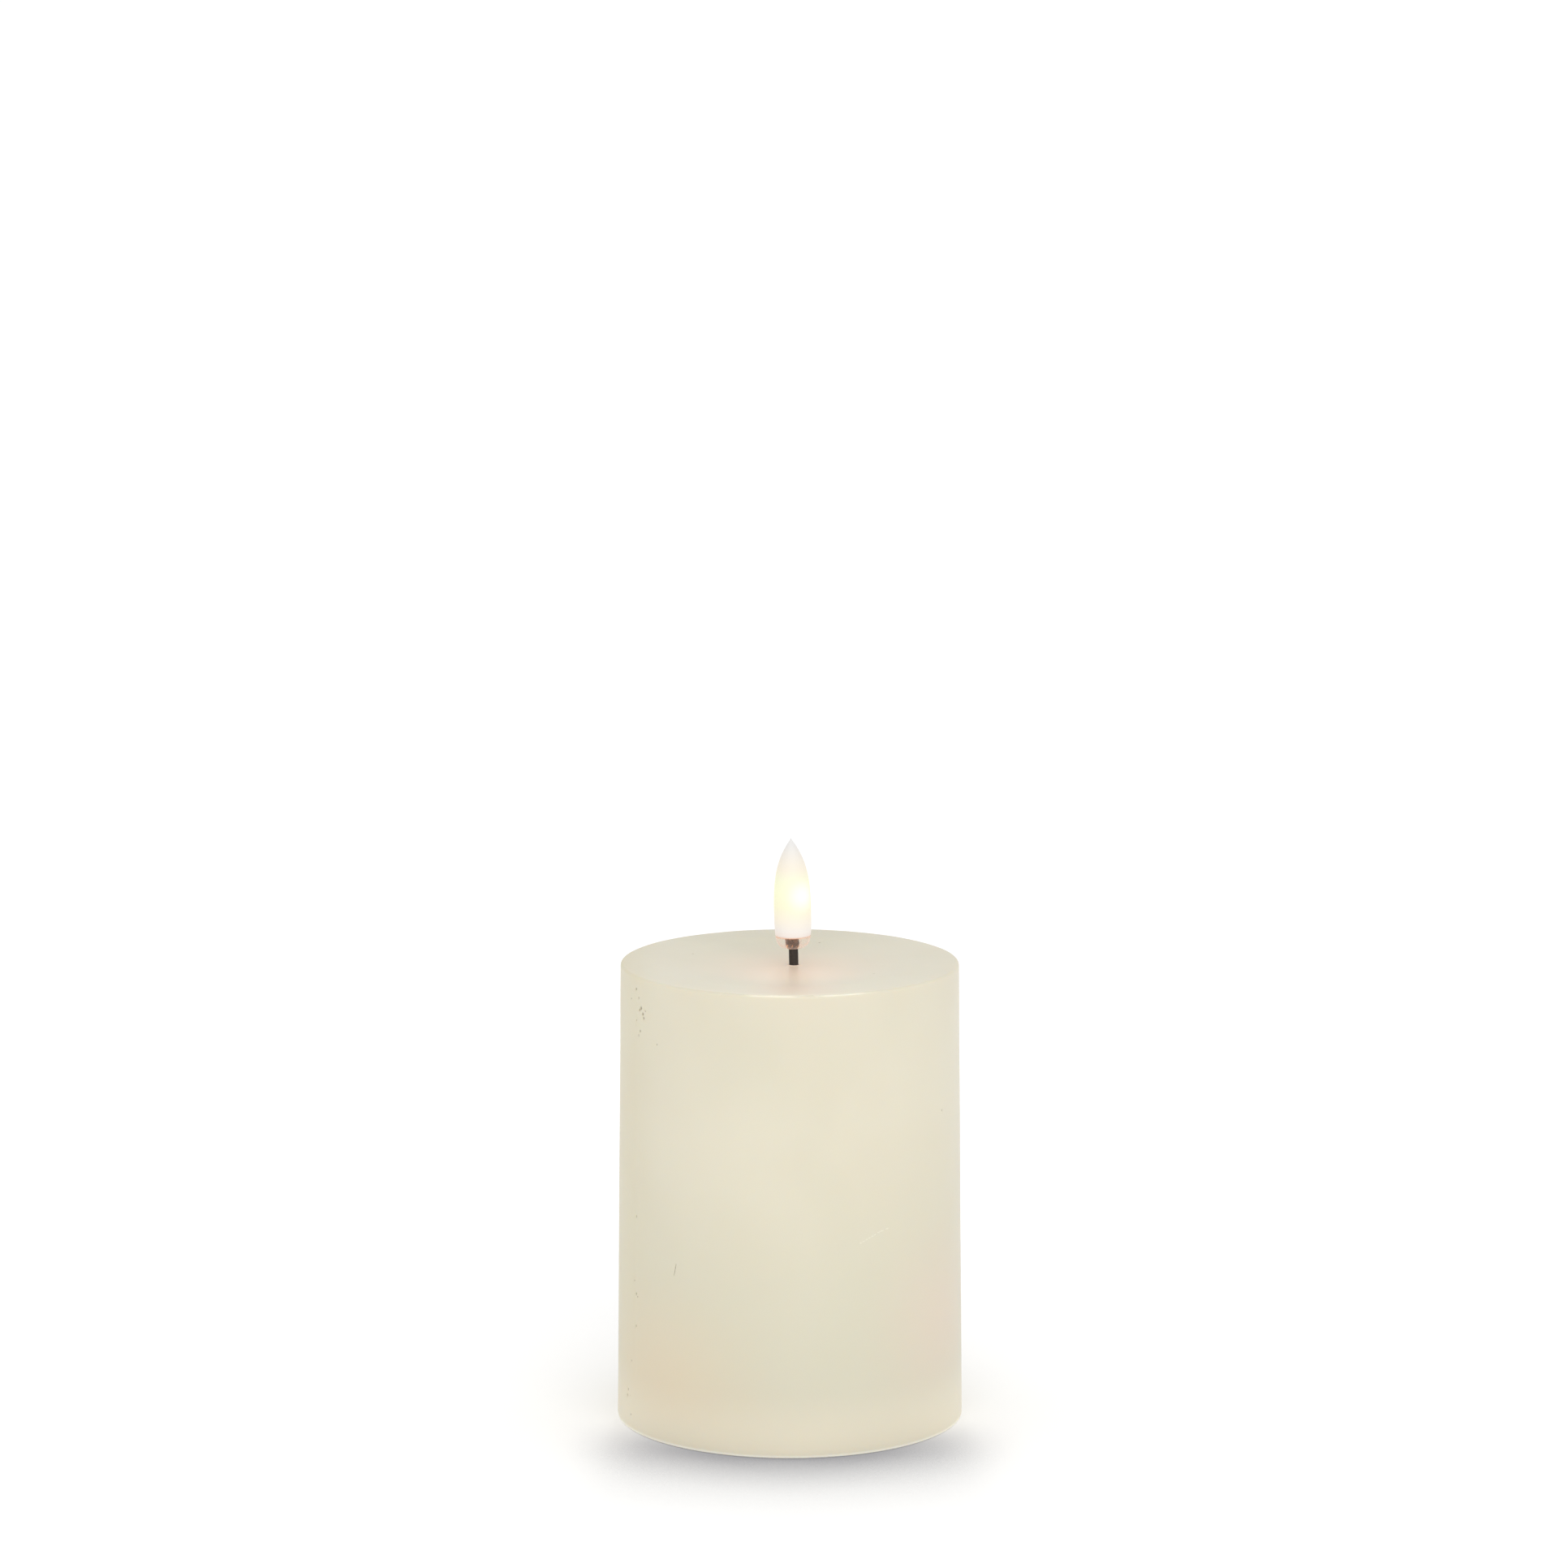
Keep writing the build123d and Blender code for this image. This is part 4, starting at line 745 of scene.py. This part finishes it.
resistor_low, resistor_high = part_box("chip_resistors")
resistor_length = 2 * mm
resistor_pitch = (resistor_high.x - resistor_low.x - resistor_length) / 2
resistor = Finish("resistor_glaze")
along = resistor.x - (resistor_low.x + resistor_length / 2)
pitches = along / resistor_pitch
from_middle = along - resistor_pitch * pitches.math("ROUND", pitches)
tinned = resistor.step(abs(from_middle), 0.63 * mm, 0.66 * mm)
glazed = resistor.step(resistor.z, resistor_high.z - 0.09 * mm, resistor_high.z - 0.075 * mm)
resistor_body = resistor.mix(glazed, (0.70, 0.69, 0.66), (0.02, 0.02, 0.02))
resistor.set("Base Color", resistor.mix(tinned, resistor_body, (0.76, 0.75, 0.73)))
resistor.set("Metallic", tinned)
resistor.set("Roughness", 0.3 + 0.15 * resistor.grain(0.3 * mm, 2.0))
resistor.paint(nodes["chip_resistors"])


# ---- Solder joints
# Bright tin that wetted up each pin and wire as it was soldered by hand, with a thin ring of amber flux
# left at its foot.

solder_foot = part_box("solder_joints")[0].z
solder = Finish("solder")
flux = 1 - solder.step(solder.z, solder_foot + 0.05 * mm, solder_foot + 0.22 * mm)
flux = flux * solder.grain(0.7 * mm, 3.0)
ripple = solder.grain(0.3 * mm, 3.0, 0.5)
solder.set("Base Color", solder.mix(flux, (0.74, 0.74, 0.75), (0.40, 0.24, 0.06)))
solder.set("Metallic", 1 - 0.8 * flux)
solder.set("Roughness", 0.16 + 0.2 * ripple)
solder.bump(ripple, 0.02 * mm, 0.4)
solder.paint(nodes["solder_joints"])


# ---- Slide switch
# A folded tin shell holds a black base with four pins, and the slider's stem reaches down through the
# base plate. The stem is ribbed for a fingernail.

plated("switch_tin", (0.70, 0.70, 0.69), 0.28, streak=(0.1, 1, 1)).paint(nodes["switch_shell"])
plated("pin_tin", (0.74, 0.72, 0.66), 0.2, streak=(1, 1, 0.1)).paint(nodes["switch_terminals"])
moulded("switch_black", (0.022, 0.022, 0.023), 0.5, 0.015 * mm, 0.08).paint(nodes["switch_base"])
moulded("slider_black", (0.028, 0.028, 0.029), 0.46, 0.015 * mm, 0.16).paint(nodes["switch_slider"])


# ---- Wires and shrunk sleeves
# Stranded copper wire in soft insulation, red and black, soldered at both ends. Black sleeves are shrunk
# with hot air over the two joints under the wick.


def insulation(name, colour, roughness, dust):
    """Soft insulation that has picked up a little dust."""
    skin = Finish(name, Specular_IOR_Level=0.5)
    dusty = skin.step(skin.grain(1.6 * mm, 4.0, 0.6), 0.5, 0.85)
    skin.set("Base Color", skin.mix(dusty * 0.3, colour, dust))
    skin.set("Roughness", roughness + 0.2 * dusty)
    skin.bump(skin.grain(0.7 * mm, 3.0, 0.5), 0.02 * mm, 0.35)
    return skin


insulation("red_insulation", (0.42, 0.012, 0.012), 0.36, (0.5, 0.25, 0.22)).paint(
    nodes["battery_lead_positive"], nodes["led_lead_positive"]
)
insulation("black_insulation", (0.016, 0.016, 0.017), 0.38, (0.14, 0.13, 0.12)).paint(
    nodes["battery_lead_negative"], nodes["led_lead_negative"]
)
insulation("shrunk_sleeve", (0.010, 0.010, 0.010), 0.55, (0.12, 0.12, 0.11)).paint(nodes["heat_shrinks"])


# ---- Wick
# A thin black tube that passes for a burnt wick. It comes up through the wax a little off the centre and
# leans. A moulded socket holds it under the wax.

moulded("socket_plastic", (0.68, 0.64, 0.54), 0.55, 0.02 * mm, 0.06).paint(nodes["wick_socket"])

wick_black = Finish("wick_black", Specular_IOR_Level=0.5)
char = wick_black.grain(0.35 * mm, 5.0, 0.65, stretch=(1, 1, 0.35))
ash = wick_black.step(char, 0.56, 0.74)
wick_black.set("Base Color", wick_black.mix(ash, (0.021, 0.014, 0.010), (0.105, 0.075, 0.060)))
wick_black.set("Roughness", 0.5 + 0.25 * char)
wick_black.bump(char, 0.12 * mm, 0.7)
wick_black.paint(nodes["wick_tube"])


# ---- LED
# A clear epoxy LED, 3 mm across, hidden in the bulb on two tinned legs that run down the wick. It is what
# lights the flame.

plated("leg_tin", (0.74, 0.72, 0.68), 0.22, streak=(1, 1, 0.1)).paint(nodes["led_legs"])

led_low, led_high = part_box("led_package")
led = Finish("lit_epoxy", IOR=1.53, Emission_Strength=1.2)
led_glow = led.step(led.z, led_low.z, led_high.z)
led.set("Base Color", led.mix(led_glow, (0.85, 0.72, 0.50), (0.95, 0.90, 0.78)))
led.set("Emission Color", led.mix(led_glow, (0.9, 0.35, 0.10), (1.0, 0.80, 0.45)))
led.set("Roughness", 0.12 + 0.1 * led.grain(0.6 * mm, 2.0))
led.paint(nodes["led_package"])


# ---- Joint sleeve
# The lumpy joint where the LED's leads are soldered and glued on top of the wick. The glue has set brown,
# and bare copper shows at its lower end.

lean = radians(1.3)
wick_bend_radius = 40 * mm
# where the lines of the upright and the leaning part of the wick meet
wick_axis_foot = Vector((wick_offset, 0, dish_floor + wick_bend_radius * tan(lean / 2)))
joint_foot, joint_top = 3.35 * mm, 5.95 * mm
joint_hole, joint_toe, joint_waist, joint_radius = 0.80 * mm, 1.16 * mm, 1.32 * mm, 1.52 * mm
joint_shift = 0.25 * mm  # it sits a little to one side of the wick


def lean_over(shape):
    """Moves a shape that was made upright at the origin onto the leaning axis of the wick."""
    bmesh.ops.rotate(shape, cent=(0, 0, 0), matrix=Matrix.Rotation(-lean, 3, "Y"), verts=shape.verts)
    bmesh.ops.translate(shape, vec=wick_axis_foot, verts=shape.verts)


joint_bend = (joint_waist, joint_foot + 0.25 * mm)
joint_shoulder = (joint_radius, joint_foot + 0.9 * mm)
joint_edge = (joint_radius, joint_top - 0.3 * mm)
joint_outline = [
    (joint_hole, joint_foot),
    (joint_toe, joint_foot),
    joint_bend,
    *run(joint_bend, joint_shoulder, 6),
    joint_shoulder,
    *run(joint_shoulder, joint_edge, 6),
    joint_edge,
    (joint_radius - 0.25 * mm, joint_top),
    (joint_hole, joint_top),
]
joint_shape = lathe(joint_outline, 64)
lump_size, lump_depth, lump_sink = 0.9 * mm, 0.22 * mm, 0.15
for vert in joint_shape.verts:
    if hypot(vert.co.x, vert.co.y) > joint_hole + 0.2 * mm:
        outward = Vector((vert.co.x, vert.co.y, 0)).normalized()
        vert.co += outward * lump_depth * (noise.noise(vert.co / lump_size) - lump_sink)
bmesh.ops.translate(joint_shape, vec=(-joint_shift, 0, 0), verts=joint_shape.verts)
lean_over(joint_shape)
joint_blob = make_piece(joint_shape, "glued_joint", "lead_joint_sleeve")

joint_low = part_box("lead_joint_sleeve")[0].z
joint = Finish("joint_brown", Specular_IOR_Level=0.3, Emission_Strength=0.5)
lumps = joint.grain(0.6 * mm, 4.0, 0.6)
copper_and_glint = joint.step(joint.grain(0.42 * mm, 3.0, 0.6, stretch=(1, 1, 0.4)), 0.52, 0.60)
copper_and_glint = copper_and_glint * (1 - joint.step(joint.z, joint_low + 0.5 * mm, joint_low + 1.1 * mm) * 0.95)
glue_brown = joint.mix(joint.step(lumps, 0.35, 0.70), (0.014, 0.008, 0.006), (0.11, 0.060, 0.042))
joint.set("Base Color", joint.mix(copper_and_glint, glue_brown, (0.95, 0.47, 0.22)))
joint.set("Metallic", copper_and_glint * 0.8)
# painted light: the copper glows orange in the emission, as if lit by the LED through the cup
joint.set("Emission Color", joint.mix(copper_and_glint, (0, 0, 0), (0.90, 0.36, 0.12)))
joint.set("Roughness", 0.42 - 0.2 * copper_and_glint + 0.2 * lumps)
joint.bump(lumps, 0.15 * mm, 0.7)
joint.paint(joint_blob)


# ---- Bulb collar
# The clear cup, moulded in one with the glue, that plugs the foot of the bulb. Light from the LED makes
# it faintly pink.

cup_foot, cup_rim = 3.45 * mm, 6.02 * mm
cup_foot_radius, cup_rim_radius = 1.88 * mm, 3.78 * mm
cup_belly = 0.42 * mm  # how far its side bulges
cup_inner, cup_lip = joint_radius + 0.30 * mm, 3.0 * mm
cup_side_steps = 12
cup_side = []
for i in range(cup_side_steps + 1):
    share = i / cup_side_steps
    bulge = cup_belly * sin(pi * share)
    side_radius = cup_foot_radius + (cup_rim_radius - cup_foot_radius) * share + bulge
    cup_side.append((side_radius, cup_foot + (cup_rim - cup_foot) * share - bulge))
cup_shape = lathe([(cup_inner, cup_foot), *cup_side, (cup_lip, cup_rim), (cup_inner, cup_rim)], 96)
lean_over(cup_shape)
clear_cup = make_piece(cup_shape, "clear_cup", "bulb_collar")

collar = Finish("clear_collar", IOR=1.49, Roughness=0.12, Emission_Strength=0.15)
collar_cloud = collar.grain(1.2 * mm, 3.0)
cup_top = wick_axis_foot.z + cup_rim
near_rim = collar.step(collar.z, cup_top - 0.5 * mm, cup_top - 0.1 * mm)
collar.set("Base Color", collar.mix(near_rim, (0.88, 0.67, 0.59), (0.88, 0.56, 0.42)))
collar.set("Emission Color", collar.mix(near_rim, (1.0, 0.80, 0.76), (1.0, 0.62, 0.42)))
cup_edge = collar.node("LayerWeight", {}, {0: 0.5}, 1)
collar.set("Alpha", 0.02 + 0.05 * collar_cloud + 0.06 * near_rim + 0.65 * cup_edge * cup_edge)
collar.paint(clear_cup)


# ---- Flame bulb
# Frosted plastic blown to the shape of a flame. The LED inside lights its lower half a pale yellow, with
# one bright spot to the front right. It cools to pink and then to white towards the tip and the foot.

bulb_foot, bulb_widest, bulb_tip = 6.05 * mm, 12.25 * mm, 27.34 * mm
bulb_foot_radius, bulb_radius, bulb_wall = 3.85 * mm, 4.0 * mm, 0.75 * mm
bulb_foot_round = 0.55 * mm


def pulled(start, first, second, end, count):
    """Points along a cubic curve, without its first point."""
    points = []
    for i in range(1, count + 1):
        t = i / count
        weights = ((1 - t) ** 3, 3 * t * (1 - t) ** 2, 3 * t * t * (1 - t), t**3)
        weighed = list(zip(weights, (start, first, second, end)))
        points.append(tuple(sum(w * point[k] for w, point in weighed) for k in (0, 1)))
    return points


bulb_inner = bulb_radius - bulb_wall
corner_middle = (bulb_foot_radius - bulb_foot_round, bulb_foot + bulb_foot_round)
foot_corner = arc(corner_middle, bulb_foot_round, -90, 0, 8)
waist, inner_waist = (bulb_radius, bulb_widest), (bulb_inner, bulb_widest)
tip, inner_tip = (0.0, bulb_tip), (0.0, bulb_tip - 2.4 * mm)
belly_pull = (bulb_radius, bulb_foot + 2 * mm), (bulb_radius, bulb_widest - 2 * mm)
flame_pull = (bulb_radius, bulb_widest + 7 * mm), (3.05 * mm, bulb_tip - 4.1 * mm)
inner_pull = (1.9 * mm, bulb_tip - 5.2 * mm), (bulb_inner, bulb_widest + 6.2 * mm)
bulb_outline = [
    *foot_corner,
    *pulled(foot_corner[-1], *belly_pull, waist, 10),
    *pulled(waist, *flame_pull, tip, 34),
    *pulled(inner_tip, *inner_pull, inner_waist, 14),
    (bulb_inner, bulb_foot),
]
bulb_shape = lathe(bulb_outline, 128)
lean_over(bulb_shape)
frosted_bulb = make_piece(bulb_shape, "frosted_flame", "flame_bulb")

bulb_low, bulb_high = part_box("flame_bulb")
flame = Finish("lit_frosted_plastic", Specular_IOR_Level=0.4, Emission_Strength=1.0)
fog = flame.grain(3.5 * mm, 2.0)
height = (flame.z - bulb_low.z) / (bulb_high.z - bulb_low.z) + 0.04 * (fog - 0.5)
glow_stops = [
    (0.00, (0.40, 0.32, 0.28)),
    (0.08, (0.41, 0.37, 0.33)),
    (0.20, (0.46, 0.40, 0.27)),
    (0.32, (0.47, 0.45, 0.21)),
    (0.46, (0.47, 0.48, 0.21)),
    (0.58, (0.43, 0.44, 0.20)),
    (0.70, (0.41, 0.34, 0.20)),
    (0.82, (0.35, 0.30, 0.22)),
    (0.95, (0.28, 0.27, 0.25)),
]
lit = flame.node("ValToRGB", {"stops": glow_stops}, {0: height})
spot = flame.near((2.8 * mm, -3.2 * mm, bulb_low.z + 9.3 * mm), 4.4 * mm)
lit = flame.mix(spot * 0.9, lit, (0.55, 0.55, 0.52))
edge_warm = 1 - flame.step(flame.z, bulb_low.z + 0.1 * mm, bulb_low.z + 0.45 * mm)
lit = flame.mix(edge_warm * 0.8, lit, (0.42, 0.16, 0.06))
flame.set("Emission Color", lit)
flame.set("Base Color", flame.mix(fog, (0.495, 0.490, 0.490), (0.515, 0.510, 0.510)))
flame.set("Roughness", 0.42 + 0.15 * fog)
flame.bump(flame.grain(0.5 * mm, 3.0), 0.02 * mm, 0.2)
flame.paint(frosted_bulb)
